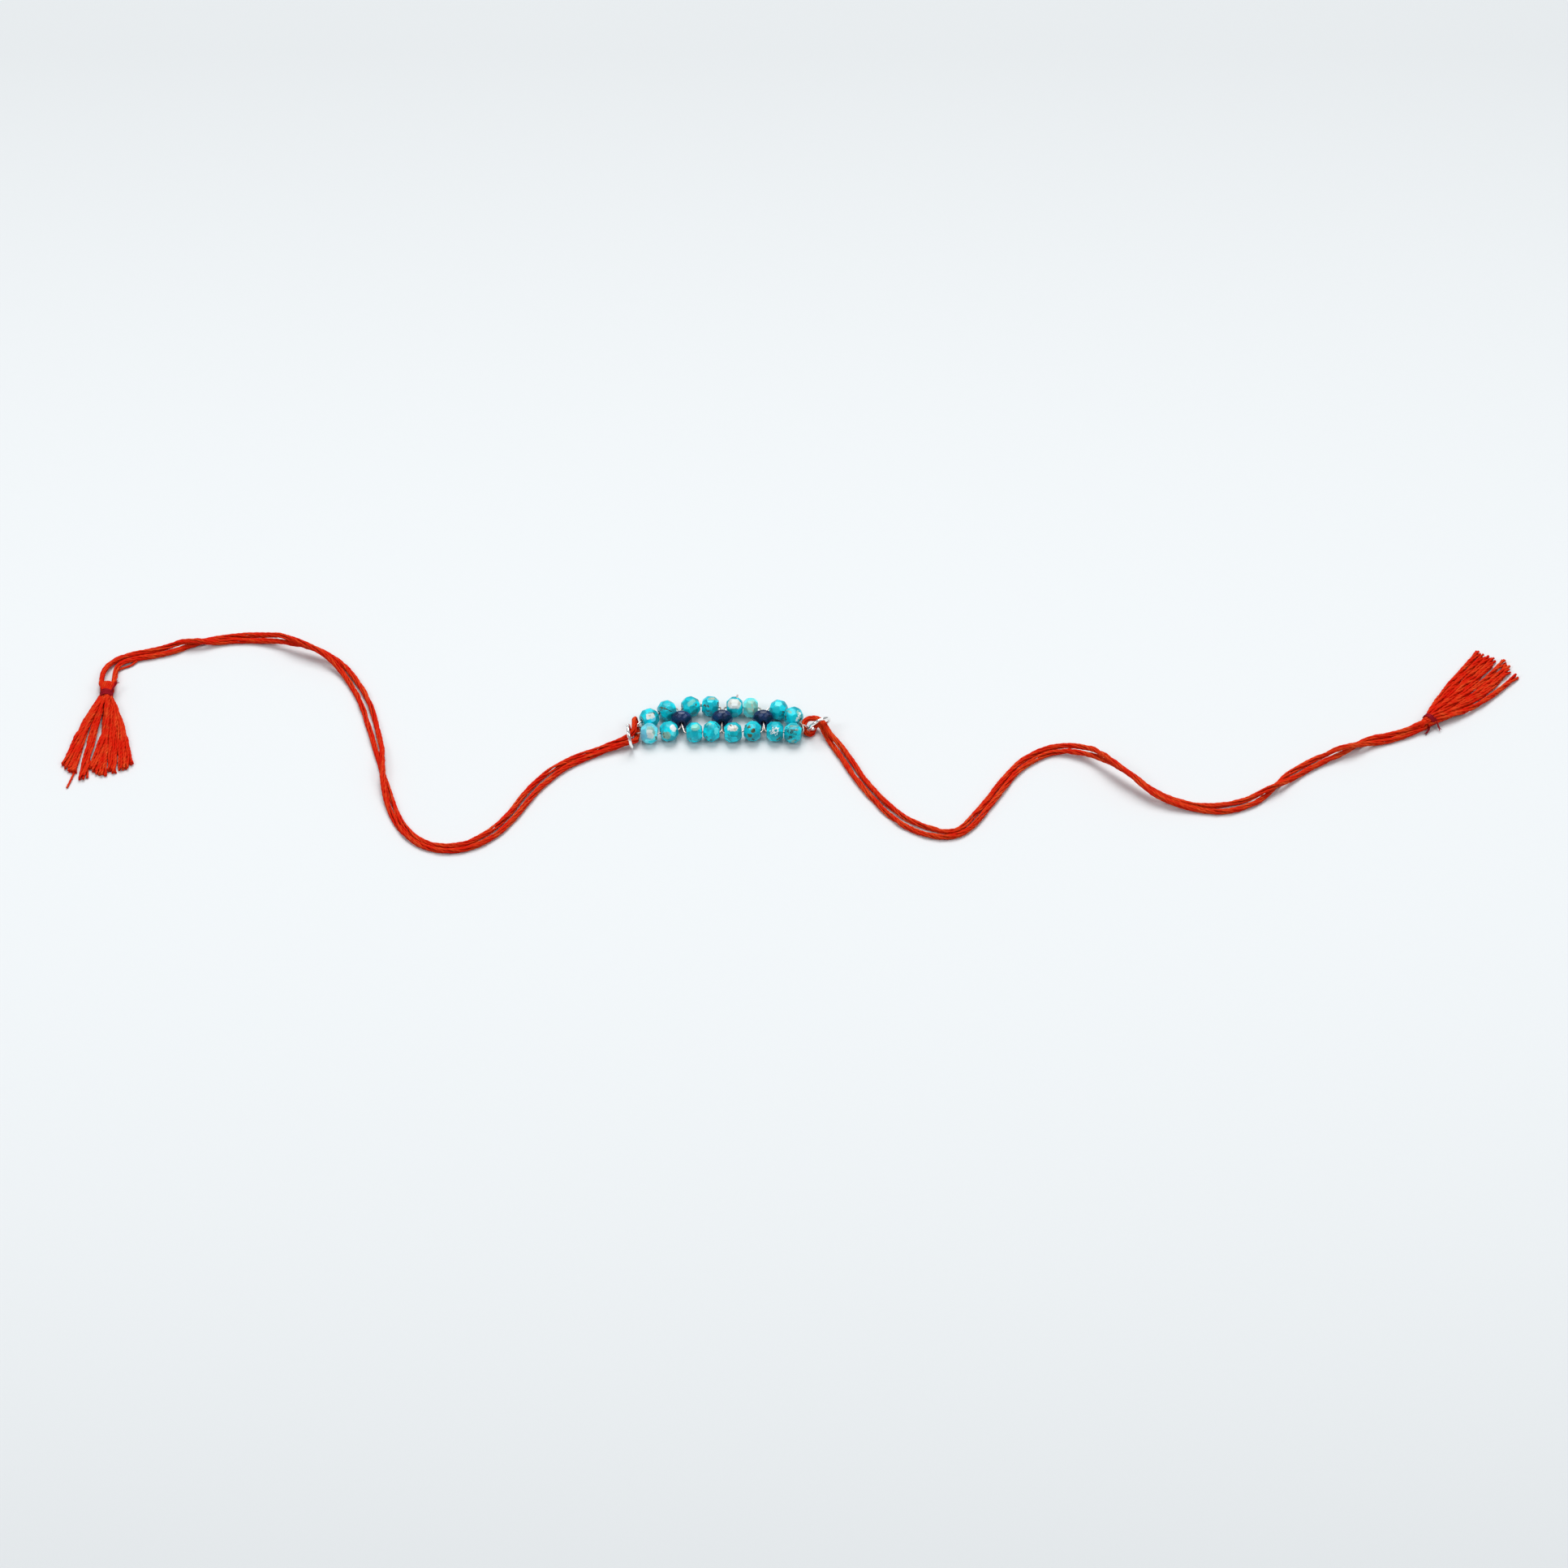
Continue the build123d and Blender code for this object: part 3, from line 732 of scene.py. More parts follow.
# Twist of the floss: how close its fibres lie round a strand and along it, to a metre, how far
# apart the strands' fibres are taken, how wide the groove between two plies is, with its painted shade, how
# much the floss shines, and the bright, middle and deep red of each thread: the bright red is the fibres' own
# tone and painted sheen, the deep red is painted shade in the grooves.
fibres_round = 2.6
floss_fibres = 900.0
binding_fibres = 1400.0
fibre_seed_step = 40.0
groove_shade_width = 0.42
floss_shine = 0.02
floss_reds = ((0.78, 0.140, 0.028), (0.64, 0.008, 0.002), (0.52, 0.0015, 0.0010))
binding_reds = ((0.48, 0.022, 0.040), (0.32, 0.008, 0.016), (0.12, 0.002, 0.005))


def twist_group():
    """Two-ply twist: painted shade in the grooves between the plies, fine fibres along them
    painted brighter as their own tone and as painted sheen, and a tone for each strand."""
    group, given = shader_group(
        "ply_twist", Bright="Color", Middle="Color", Deep="Color", Groove="Float", Fibre_Scale="Float",
    )
    around = parts(attribute(group, "around")["Vector"])
    along = attribute(group, "along")["Fac"]
    tone = attribute(group, "tone")["Fac"]
    groove_shade = smooth_step(math_node("ABSOLUTE", around[0]), 0.0, given["Groove"], 1.0, 0.0)
    across = times_plus(around[0], fibres_round, times(tone, fibre_seed_step))
    spot = combined(across, times(around[1], fibres_round), times(along, given["Fibre Scale"]))
    fibre = smooth_step(noise(spot, 1.0, 3.0, 0.6), 0.3, 0.7)
    slow = smooth_step(noise(object_place(group), 420.0), 0.35, 0.65, 0.30, 1.15)
    # Fibre streaks mixed toward the bright red: the fibres' own tone and painted sheen
    light = times(times(fibre, times_plus(tone, 0.65, 0.20)), slow)
    colour = mix_colour(light, given["Middle"], given["Bright"])
    # Painted shade: the grooves between the plies darkened toward the deep red
    colour = mix_colour(times(groove_shade, 0.85), colour, given["Deep"])
    roughness = smooth_step(fibre, 0.0, 1.0, 0.62, 0.46)
    height = minus(times(fibre, 0.35), groove_shade)
    return end_group(group, Color=colour, Roughness=roughness, Height=height)


def thread_material(name, group, colours, fibre_scale):
    values = dict(zip(("Bright", "Middle", "Deep"), colours), Groove=groove_shade_width, Fibre_Scale=fibre_scale)
    return group_material(name, group, values, floss_bumps, Specular_IOR_Level=floss_shine)


# Turquoise: how far apart its matrix, veins and specks are taken from the same noise, in
# millimetres, and how wide the widest veins are, as a share of the noise.
matrix_shift = (13.7, 5.1, 8.3)
vein_shift = (2.9, 31.0, 4.4)
speck_shift = (7.7, 1.3, 22.0)
widest_vein = 0.030


def stone_group():
    """Turquoise: clouded blue, pale matrix, broken brown veins and small specks."""
    group, given = shader_group(
        "turquoise_stone", Place="Vector", Bright="Color", Deep="Color", Pale="Color", Vein="Color",
        Pale_Share="Float", Vein_Share="Float",
    )
    place = given["Place"]
    cloud = smooth_step(noise(place, 0.55, 4.0, 0.55, 0.4), 0.35, 0.65)
    colour = mix_colour(cloud, given["Deep"], given["Bright"])
    shifted = vector_node("ADD", place, matrix_shift)
    matrix = noise(shifted, 0.75, 5.0, 0.6, 0.9)
    edge = minus(0.78, times(given["Pale Share"], 0.42))
    pale = smooth_step(matrix, edge, plus(edge, 0.10))
    colour = mix_colour(times(pale, 0.85), colour, given["Pale"])
    lines = noise(vector_node("ADD", place, vein_shift), 0.62, 3.0, 0.55, 1.4)
    width = times(given["Vein Share"], widest_vein)
    near = math_node("ABSOLUTE", minus(lines, 0.5))
    vein = smooth_step(near, width, times_plus(width, 2.2, 0.002), 1.0, 0.0)
    vein = times(vein, smooth_step(noise(shifted, 0.9, 2.0), 0.50, 0.62))
    specks = noise(vector_node("ADD", place, speck_shift), 4.2, 3.0, 0.6)
    edge = minus(0.83, times(given["Vein Share"], 0.14))
    speck = smooth_step(specks, edge, plus(edge, 0.03))
    mark = times(math_node("MAXIMUM", vein, speck), 0.6)
    colour = mix_colour(mark, colour, given["Vein"])
    grain = noise(place, 9.0, 3.0, 0.6)
    grain_tone = mix_colour(grain, (0.0, 0.02, 0.03), (0.9, 1.0, 1.0))
    colour = mix_colour(0.18, colour, grain_tone, "OVERLAY")
    roughness = times_plus(mark, 0.35, times_plus(grain, 0.12, 0.20))
    worn = times(noise(place, 1.3, 2.0), 1.2)
    height = minus(plus(worn, times(grain, 0.12)), mark)
    return end_group(group, Color=colour, Roughness=roughness, Height=height)


def patch_group():
    """A ragged patch or streak of another colour between two points, in millimetres."""
    group, given = shader_group(
        "stone_patch", Color="Color", Place="Vector", Start="Vector", End="Vector", Radius="Float",
        Ragged="Float", Patch_Color="Color", Strength="Float",
    )
    start = given["Start"]
    outside = vector_node("LENGTH", start)

    def on_bead(place):
        """The place moved to the bead's round outside."""
        return scaled(vector_node("NORMALIZE", place), outside)

    spot = on_bead(given["Place"])
    run = vector_node("SUBTRACT", given["End"], start)
    reach = vector_node("SUBTRACT", spot, start)
    squared = plus(vector_node("DOT_PRODUCT", run, run), 0.0001)
    share = math_node("DIVIDE", vector_node("DOT_PRODUCT", reach, run), squared)
    share = node(group, "ShaderNodeClamp", Value=share).outputs[0]
    nearest = on_bead(vector_node("ADD", start, scaled(run, share)))
    away = vector_node("LENGTH", vector_node("SUBTRACT", spot, nearest))
    wave = minus(noise(given["Place"], 1.9, 4.0, 0.62, 0.5), 0.5)
    away = times_plus(times(wave, given["Ragged"]), 1.5, away)
    inner = times(given["Radius"], 0.84)
    outer = times(given["Radius"], 1.12)
    cover = times(smooth_step(away, inner, outer, 1.0, 0.0), given["Strength"])
    return end_group(group, Color=mix_colour(cover, given["Color"], given["Patch Color"]))


def metal_wear_group():
    """Fine hairlines and a little tarnish for silver wire."""
    group, given = shader_group(
        "metal_wear", Clean="Color", Tarnish="Color", Tarnish_Share="Float", Roughness="Float",
    )
    place = object_place(group)
    edge = minus(0.80, times(given["Tarnish Share"], 0.5))
    film = smooth_step(noise(place, 700.0, 4.0, 0.6), edge, plus(edge, 0.2))
    lines = noise(place, 6000.0, 2.0, 0.7, 2.0)
    colour = mix_colour(film, given["Clean"], given["Tarnish"])
    roughness = times_plus(lines, 0.08, times_plus(film, 0.2, given["Roughness"]))
    return end_group(group, Color=colour, Roughness=roughness, Height=lines)


# The metals' clean and tarnished colours, share of tarnish and roughness
silver_look = ((0.93, 0.92, 0.90), (0.55, 0.50, 0.45), 0.25, 0.07)
wire_look = ((0.72, 0.61, 0.57), (0.34, 0.24, 0.20), 0.7, 0.30)


def metal_material(name, group, look):
    values = dict(zip(("Clean", "Tarnish", "Tarnish_Share", "Roughness"), look))
    return group_material(name, group, values, metal_bumps, Metallic=1.0)


# Tassels


def along_neck(tassel, distance):
    """The point this far along the neck's middle line."""
    start = Vector((*tassel["middle"], wrap_radius + wrap_thread_radius))
    return start + heading_vector(tassel["fan_heading"]) * distance


def binding_end(tassel):
    return tassel["binding"]["start"] + tassel["binding"]["length"]


def lock_lines(tassel):
    """One line for each lock, from inside the binding, down to the table and out to its tip."""
    left = heading_vector(tassel["fan_heading"] + 90) * tassel["hand"]
    gather = neck_radius - lock_radius
    last = len(tassel["locks"]) - 1
    lines = []
    for number, (x, y, bow, level) in enumerate(tassel["locks"]):
        spread = gather * (2 * number / last - 1)
        rise = Vector((0, 0, (2 * level - 1) * math.sqrt(max(gather ** 2 - spread ** 2, 0))))
        points = []
        for back, share in lock_roots:
            points.append(along_neck(tassel, binding_end(tassel) - back) + left * (share * spread) + rise)
        root = points[-1]
        travel = Vector((x, y, lock_radius)) - root
        side = Vector((-travel.y, travel.x, 0))
        for part, drop in lock_shares:
            spot = root + travel * part + side * (4 * bow * part * (1 - part))
            spot.z = root.z + travel.z * drop
            points.append(spot)
        lines.append(points)
    return lines


def head_lines(tassel):
    """Strands of the head: each goes from the neck over the thread's fold and back."""
    middle = head_middle(tassel)
    cord = heading_vector(tassel["cord_heading"])
    left = heading_vector(tassel["cord_heading"] + 90)
    up = Vector((0, 0, 1))
    radius = tassel["head_radius"] - head_inset
    lines = []
    for number in range(head_strands):
        share = 2 * number / (head_strands - 1) - 1
        across = left * (share * (tassel["fold_reach"] - head_side_room))
        neck_across = left * (share * (neck_radius - neck_inset))
        dip = radius * (1 - head_side_dip * share * share)
        start = along_neck(tassel, binding_end(tassel) - neck_inset) + neck_across
        held = along_neck(tassel, tassel["binding"]["start"] + held_past_start) + neck_across
        shoulder = middle + across * shoulder_width + cord * (radius * shoulder_back)
        points = [start + up * neck_rise, held + up * held_rise, shoulder + up * (dip * shoulder_rise)]
        for turn in head_loop_angles:
            out = cord * (math.cos(math.radians(turn)) * dip * head_loop)
            points.append(middle + across + out + up * (math.sin(math.radians(turn)) * dip * head_loop))
        points += [shoulder - up * (dip * shoulder_drop), held - up * held_rise, start - up * neck_rise]
        lines.append(points)
    return lines


def binding_line(tassel, seed):
    """The binding thread's turns round the neck, a little untidy."""
    random = Random(seed)
    binding = tassel["binding"]
    untidy = binding["untidy"]
    fan = heading_vector(tassel["fan_heading"])
    left = heading_vector(tassel["fan_heading"] + 90)
    steps = int(binding["turns"] * wrap_points_per_turn)
    room = binding["length"] - 2 * wrap_thread_radius
    points = []
    for step in range(steps + 1):
        angle = step / wrap_points_per_turn * math.tau
        if step % wrap_points_per_turn == 0:
            slant = random.uniform(-untidy, untidy)
        place = along_neck(tassel, binding["start"] + wrap_thread_radius + room * step / steps)
        place += fan * (slant * math.cos(angle) * wrap_slant + random.uniform(-untidy, untidy) * wrap_shift)
        reach = wrap_radius + random.uniform(-wrap_swell, wrap_swell) * untidy
        place += left * (reach * math.cos(angle)) + Vector((0, 0, reach * math.sin(angle)))
        points.append(place)
    return points


make_camera()
floss_nodes = floss_tree()
twist = twist_group()
floss_red = thread_material("floss_red", twist, floss_reds, floss_fibres)
binding_red = thread_material("binding_crimson", twist, binding_reds, binding_fibres)

thread_values = {
    "Strands": strands_in_thread,
    "Bundle Radius": bundle_radius * MM,
    "Strand Radius": strand_radius * MM,
    "Lobe": strand_lobe,
    "Bundle Turn": bundle_turn * MM,
    "Ply Turn": ply_turn * MM,
    "Step": strand_step * MM,
    "Wander": thread_wander,
    "Sway": thread_sway * MM,
    "Material": floss_red,
}


def rooted(piece):
    """A piece that rides with the bracelet."""
    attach(piece, "root")
    return piece


def make_tassel(side):
    tassel = tassels[side]
    fan = {
        **thread_values, "Strands": strands_in_lock, "Bundle Radius": lock_bundle_radius * MM,
        "Strand Radius": lock_strand_radius * MM, "Bundle Turn": lock_bundle_turn * MM,
        "Ply Turn": lock_ply_turn * MM, "End Spread": lock_end_spread, "Wander": lock_wander,
        "Seed": tassel_seeds[side],
    }
    single = {
        **fan, "Strands": 1, "Bundle Radius": 0.0, "End Spread": 0.0, "Strand Radius": strand_radius * MM,
        "Ply Turn": single_ply_turn * MM, "Sway": 0.0,
    }
    binding = {
        **single, "Strand Radius": wrap_thread_radius * MM, "Ply Turn": wrap_ply_turn * MM,
        "Material": binding_red,
    }
    frayed = {
        **binding, "Strands": frayed_strands, "Bundle Radius": frayed_bundle_radius * MM,
        "Strand Radius": frayed_strand_radius * MM, "End Spread": frayed_end_spread,
    }
    made = [
        ("tassel_strands", lock_lines(tassel), fan, "floss"),
        ("tassel_head", head_lines(tassel) + tassel["strays"], single, "floss"),
        ("tassel_binding", [binding_line(tassel, side)], binding, "crimson_thread"),
        ("tassel_binding_ends", tassel["tails"], frayed, "crimson_thread"),
    ]
    pieces = []
    for name, lines, values, slot in made:
        pieces.append(rooted(grown(f"{side}_{name}", line_mesh(name, lines), floss_nodes, values)))
    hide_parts(f"{side}_tassel")
    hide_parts(f"{side}_tassel_wrap")
    return pieces


def add_wire_ends(metal):
    """Clipped ends and a twisted knot of the bead wire."""
    round_wire = {
        "Strands": 1, "Bundle Radius": 0.0, "Strand Radius": wire_end_radius * MM, "Lobe": 0.0,
        "Bundle Turn": no_turn * MM, "Ply Turn": no_turn * MM, "Step": wire_end_step * MM, "Wander": 0.0,
        "Sway": 0.0, "Material": metal,
    }
    rooted(grown("bead_wire_ends", line_mesh("wire_ends", wire_ends), floss_nodes, round_wire))


def make_thread(side, points):
    mesh = line_mesh("route", [points])
    values = {**thread_values, "Seed": thread_seeds[side]}
    thread = rooted(grown(f"{side}_thread_strands", mesh, floss_nodes, values))
    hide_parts(f"{side}_thread")
    make_tassel(side)


make_thread("left", left_thread_points())
make_thread("right", right_thread_points())


# Beads, wire and rings keep their CAD shape, with worn edges and their own finish.

cyan = (0.003, 0.66, 0.76)
deep_cyan = (0.001, 0.40, 0.50)
light_cyan = (0.12, 0.80, 0.84)
teal = (0.008, 0.24, 0.27)
mint = (0.25, 0.62, 0.50)
sage = (0.24, 0.42, 0.34)
seafoam = (0.22, 0.65, 0.57)
cream = (0.74, 0.77, 0.73)
beige = (0.50, 0.45, 0.33)
olive = (0.10, 0.085, 0.025)
brown = (0.085, 0.045, 0.020)
bark = (0.030, 0.020, 0.014)
# White, as the stone's own pale matrix and as painted glints
white_and_glint = (0.80, 0.87, 0.87)
sky = (0.16, 0.58, 0.76)

# Each turquoise bead: its cloud colours, its shares of matrix and veins, and the patches seen
# from the front, each as colour, right, up, right, up, radius, raggedness and strength. A few patches are
# painted light: glints and a lighter top.
stones = {
    "upper_1": (cyan, deep_cyan, mint, 0.15, 0.25, [
        (sky, 0.75, 0.0, 0.75, 0.1, 0.55, 0.5, 0.7),
        (brown, -0.15, 0.98, 0.95, 0.95, 0.14, 0.5, 0.9),
        (cream, -0.15, 0.35, 0.55, 0.45, 0.52, 0.8, 1.0),
        (beige, 0.0, 0.5, 0.0, 0.5, 0.2, 0.8, 0.6),
    ]),
    "upper_2": (cyan, deep_cyan, mint, 0.10, 0.45, [
        (olive, -1.25, 0.65, 0.0, 0.25, 0.12, 0.35, 0.85),
        (bark, -0.1, 0.25, 0.95, -0.20, 0.09, 0.3, 0.9),
        (olive, -1.3, 0.6, -0.7, 0.2, 0.12, 0.9, 0.7),
    ]),
    "upper_3": (cyan, deep_cyan, mint, 0.30, 0.10, [
        (mint, 0.6, 1.2, -0.2, 0.5, 0.40, 0.8, 0.6),
        (brown, 0.75, 1.75, 1.75, 0.75, 0.12, 0.4, 0.9),
        (olive, 1.05, 0.35, 1.05, 0.45, 0.20, 0.4, 0.95),
        (teal, 1.1, -0.9, 0.5, -1.2, 0.50, 0.5, 0.8),
    ]),
    "upper_4": (cyan, deep_cyan, sage, 0.25, 0.45, [
        (sage, 0.0, 1.5, 0.5, 1.5, 0.45, 0.9, 0.9),
        (beige, 0.2, 1.55, 0.55, 1.5, 0.18, 0.8, 0.8),
        (brown, -1.25, 0.3, -0.55, 0.0, 0.14, 0.9, 0.9),
        (bark, 1.5, 0.7, 1.5, 0.2, 0.12, 0.6, 0.9),
        (brown, -0.6, -0.9, -0.2, -1.0, 0.10, 0.8, 0.7),
    ]),
    "upper_5": (cyan, deep_cyan, mint, 0.10, 0.10, [
        (cream, -0.55, 0.75, 0.35, 0.70, 1.08, 0.5, 1.0),
        (beige, -1.1, 1.1, -0.7, 0.6, 0.10, 0.8, 0.7),
        (white_and_glint, -0.5, 0.2, 0.2, 0.3, 0.45, 0.6, 0.8),
        (beige, 1.0, 1.1, 0.9, 0.4, 0.16, 0.7, 0.5),
    ]),
    "upper_6": (seafoam, light_cyan, sage, 0.35, 0.12, [
        (seafoam, 0.2, 0.4, 0.4, -0.2, 1.35, 0.4, 0.9),
        (sage, 0.5, 1.1, 1.2, 0.2, 0.30, 0.8, 0.6),
        (beige, 0.1, 1.2, 0.5, -1.2, 0.16, 0.8, 0.55),
        (beige, -0.5, -0.2, 0.6, -0.5, 0.12, 0.8, 0.5),
        (light_cyan, -1.0, -1.1, -0.9, -1.3, 0.42, 0.4, 0.9),
    ]),
    "upper_7": (cyan, deep_cyan, mint, 0.12, 0.25, [
        (cyan, -0.2, 0.4, 0.3, -0.1, 1.15, 0.4, 0.85),
        # Painted light: the lighter top of upper_7
        (light_cyan, 0.2, 1.15, -0.2, 1.1, 0.55, 0.6, 0.7),
        (brown, 0.9, -0.35, 1.1, -0.7, 0.10, 0.9, 0.9),
        (brown, 0.5, -1.1, 0.7, -1.0, 0.08, 0.9, 0.8),
    ]),
    "upper_8": (cyan, deep_cyan, mint, 0.40, 0.25, [
        (mint, 0.9, 0.9, 1.3, -0.4, 0.35, 0.7, 0.9),
        (cyan, -0.2, 0.1, 0.1, -0.5, 0.80, 0.4, 0.9),
        # Painted glint: the white streak on upper_8
        (white_and_glint, 1.25, 0.7, 0.4, -0.9, 0.13, 1.0, 0.9),
        (brown, -1.35, 1.0, -1.45, -0.6, 0.16, 0.8, 0.9),
        (sage, -1.0, 1.1, -0.6, 0.9, 0.30, 0.8, 0.8),
    ]),
    "lower_1": (light_cyan, sky, sage, 0.35, 0.30, [
        (sky, -1.2, 0.4, -1.0, -0.6, 0.60, 0.6, 0.9),
        (sage, 0.2, 0.9, 0.6, 0.2, 0.70, 0.8, 0.8),
        (cream, 0.1, 0.25, 0.35, -0.65, 0.62, 0.9, 0.75),
        (olive, 1.35, -0.8, 1.35, -1.2, 0.25, 0.7, 0.9),
        (cyan, 0.2, -1.65, 1.0, -1.5, 0.35, 0.5, 0.9),
    ]),
    "lower_2": (cyan, deep_cyan, sage, 0.20, 0.30, [
        (light_cyan, 1.0, -0.2, 1.0, -0.4, 0.60, 0.4, 0.7),
        (sage, -0.3, -0.9, -0.7, -0.9, 0.75, 0.6, 0.95),
        (white_and_glint, 0.75, 0.75, 0.9, 0.5, 0.60, 0.5, 1.0),
        (brown, -1.2, 0.0, -0.9, -1.2, 0.07, 0.9, 0.7),
    ]),
    "lower_3": (cyan, deep_cyan, mint, 0.25, 0.30, [
        (mint, 0.6, 1.2, 0.1, 1.0, 0.70, 0.5, 0.85),
        (deep_cyan, 0.1, -0.4, 0.3, -0.9, 0.50, 0.6, 0.9),
        (bark, 1.35, 1.3, 1.5, -0.3, 0.10, 0.25, 0.9),
        (brown, -0.8, -1.3, 0.8, -1.5, 0.07, 0.3, 0.7),
    ]),
    "lower_4": (cyan, deep_cyan, light_cyan, 0.30, 0.20, [
        (mint, -0.8, 1.4, -0.3, 1.45, 0.38, 0.7, 0.8),
        (light_cyan, 1.0, 0.2, 0.9, -0.2, 0.50, 0.5, 0.8),
        (bark, 0.3, 1.75, 1.45, 0.75, 0.085, 0.2, 1.0),
        (brown, -1.4, -0.4, -0.7, -1.4, 0.08, 0.8, 0.9),
        (brown, -0.2, -1.75, -0.1, -1.75, 0.16, 0.7, 0.9),
    ]),
    "lower_5": (cyan, deep_cyan, mint, 0.10, 0.30, [
        (teal, -0.8, -0.5, 0.6, -0.8, 0.12, 1.0, 0.7),
        (teal, -0.4, -1.2, 0.9, -1.2, 0.10, 1.0, 0.6),
        (cream, -0.5, 0.95, 0.3, 0.85, 0.68, 0.9, 1.0),
        (brown, -0.6, 1.4, -0.3, 1.2, 0.13, 0.8, 0.9),
        (beige, 0.5, 0.6, 0.2, 1.2, 0.18, 0.9, 0.6),
    ]),
    "lower_6": (cyan, deep_cyan, mint, 0.15, 0.35, [
        (olive, -0.7, 0.95, -0.7, 0.85, 0.34, 0.8, 0.95),
        (olive, 0.15, 0.15, 0.2, 0.05, 0.36, 0.8, 0.95),
        (olive, -0.6, -0.8, -0.3, -0.9, 0.34, 0.8, 0.95),
        (bark, 0.2, -1.65, 0.0, -1.6, 0.22, 0.8, 0.95),
        (brown, -1.35, 1.1, -1.3, 0.9, 0.20, 0.7, 0.9),
        (bark, 0.3, 0.2, 0.3, 0.1, 0.14, 0.8, 0.8),
    ]),
    "lower_7": (cyan, deep_cyan, mint, 0.12, 0.30, [
        (olive, 0.5, -1.5, 0.9, -1.3, 0.25, 0.8, 0.85),
        # Painted glints: the thin white streaks across lower_7
        (white_and_glint, -0.9, 0.15, 0.75, 0.7, 0.08, 0.4, 1.0),
        (white_and_glint, -0.75, -0.45, 0.7, 0.1, 0.075, 0.4, 1.0),
        (white_and_glint, -0.35, 0.7, 0.1, -0.85, 0.065, 0.4, 1.0),
        (white_and_glint, 0.25, 0.85, -0.7, -0.2, 0.06, 0.4, 1.0),
        (white_and_glint, 0.55, 0.5, 0.35, -0.6, 0.06, 0.4, 1.0),
    ]),
    "lower_8": (deep_cyan, cyan, sage, 0.50, 0.80, [
        (bark, -1.3, 1.0, 0.3, 1.2, 0.09, 1.0, 0.9),
        (bark, -0.3, 0.6, 1.1, 0.5, 0.10, 1.0, 0.9),
        (bark, 0.2, -0.2, 1.3, -0.3, 0.08, 1.0, 0.8),
        (bark, -1.2, -0.9, 0.5, -1.4, 0.09, 1.0, 0.8),
        (cyan, 1.2, 0.2, 0.9, -1.0, 0.40, 0.8, 0.8),
        (sage, -0.9, 1.2, 0.6, 1.3, 0.20, 1.0, 0.8),
        (bark, -0.2, 0.35, 0.0, 0.25, 0.20, 1.0, 0.80),
        (bark, -0.6, -0.8, -0.1, -1.0, 0.16, 1.1, 0.80),
        (bark, -1.4, 0.6, -0.6, 0.1, 0.10, 1.2, 0.9),
        (beige, 0.2, 0.9, 1.0, 0.5, 0.12, 1.0, 0.7),
    ]),
}
patch_radius = 1.95
stone_seed_shift = (17.0, 0.0, 3.0)


# Finish of the CAD nodes: how near corners are welded, how wide and rounded worn edges are and
# from which angle, and how a facet's painted shade changes with the way it faces and from bead to bead.
weld_distance = 0.001
turquoise_edge = 0.11
blue_edge = 0.09
edge_segments = 3
edge_angle = 12
facet_scale = 1.7
facet_range = (0.28, 0.72)
facet_slant = 3.1
turquoise_facet_step = 5.3
blue_facet_step = 7.7

# Painted shade of the darkest and lightest facets, of the clouded stone, over its patches and of glass
stone_facet_shades = (0.80, 1.15)
patch_facet_shades = (0.90, 1.10)
glass_facet_shades = (0.6, 1.5)


def smooth_faces_tree():
    """Smooth faces, each with a painted shade value of its own that changes with the way it faces."""
    tree, given = new_tree("smooth_faces", Seed="Float")
    smooth = geometry_node(tree, "SetShadeSmooth", Geometry=given["Geometry"])
    facing = geometry_node(tree, "InputNormal")
    shift = combined(given["Seed"], times(given["Seed"], facet_slant), 0.0)
    # Painted facet shade: a tone for each facet from the way it faces
    tone = noise(vector_node("ADD", facing, shift), facet_scale, 0.0)
    low, high = facet_range
    facet_shade = node(tree, "ShaderNodeMapRange", Value=tone, From_Min=low, From_Max=high).outputs[0]
    return end_tree(tree, stored(tree, smooth, "facet_shade", facet_shade, domain="FACE"))


def facet_shade_group():
    """Painted facet shading: facets lighter and darker than the stone between them."""
    group, given = shader_group("painted_facet_shade", Color="Color", Darkest="Float", Lightest="Float")
    facet_shade = attribute(group, "facet_shade")["Fac"]
    light = smooth_step(facet_shade, 0.0, 1.0, given["Darkest"], given["Lightest"])
    return end_group(group, Color=scaled(given["Color"], light))


def dress_node(name, material, smooth_tree, edge=0.0, seed=0.0):
    """A CAD node's finish: welded corners, worn edges and smooth normals as modifiers."""
    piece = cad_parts[name]
    piece.data.materials.clear()
    piece.data.materials.append(material)
    piece.modifiers.new("weld", "WELD").merge_threshold = weld_distance * MM
    if edge:
        edges = piece.modifiers.new("worn_edges", "BEVEL")
        edges.width = edge * MM
        edges.segments = edge_segments
        edges.limit_method = "ANGLE"
        edges.angle_limit = math.radians(edge_angle)
    smooth = piece.modifiers.new("smooth", "NODES")
    smooth.node_group = smooth_tree
    smooth[smooth_tree.interface.items_tree["Seed"].identifier] = float(seed)
    if edge:
        piece.modifiers.new("flat_facets", "WEIGHTED_NORMAL")


def bead_place(tree, name, number):
    """Places on a bead in millimetres from its middle, and the same shifted for its clouds."""
    low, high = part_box(name)
    middle = (low + high) / 2
    own = node(
        tree, "ShaderNodeMapping", {"vector_type": "POINT"}, Vector=object_place(tree),
        Location=-middle / MM, Scale=(1 / MM, 1 / MM, 1 / MM),
    ).outputs[0]
    return own, vector_node("ADD", own, [number * shift for shift in stone_seed_shift])


def seen_from_front(right, up):
    """The point of a bead, from its middle, that the camera sees this far right and up."""
    toward = math.sqrt(max(patch_radius ** 2 - right ** 2 - up ** 2, 0.0))
    return (right, (up - toward) * math.sqrt(0.5), (up + toward) * math.sqrt(0.5))


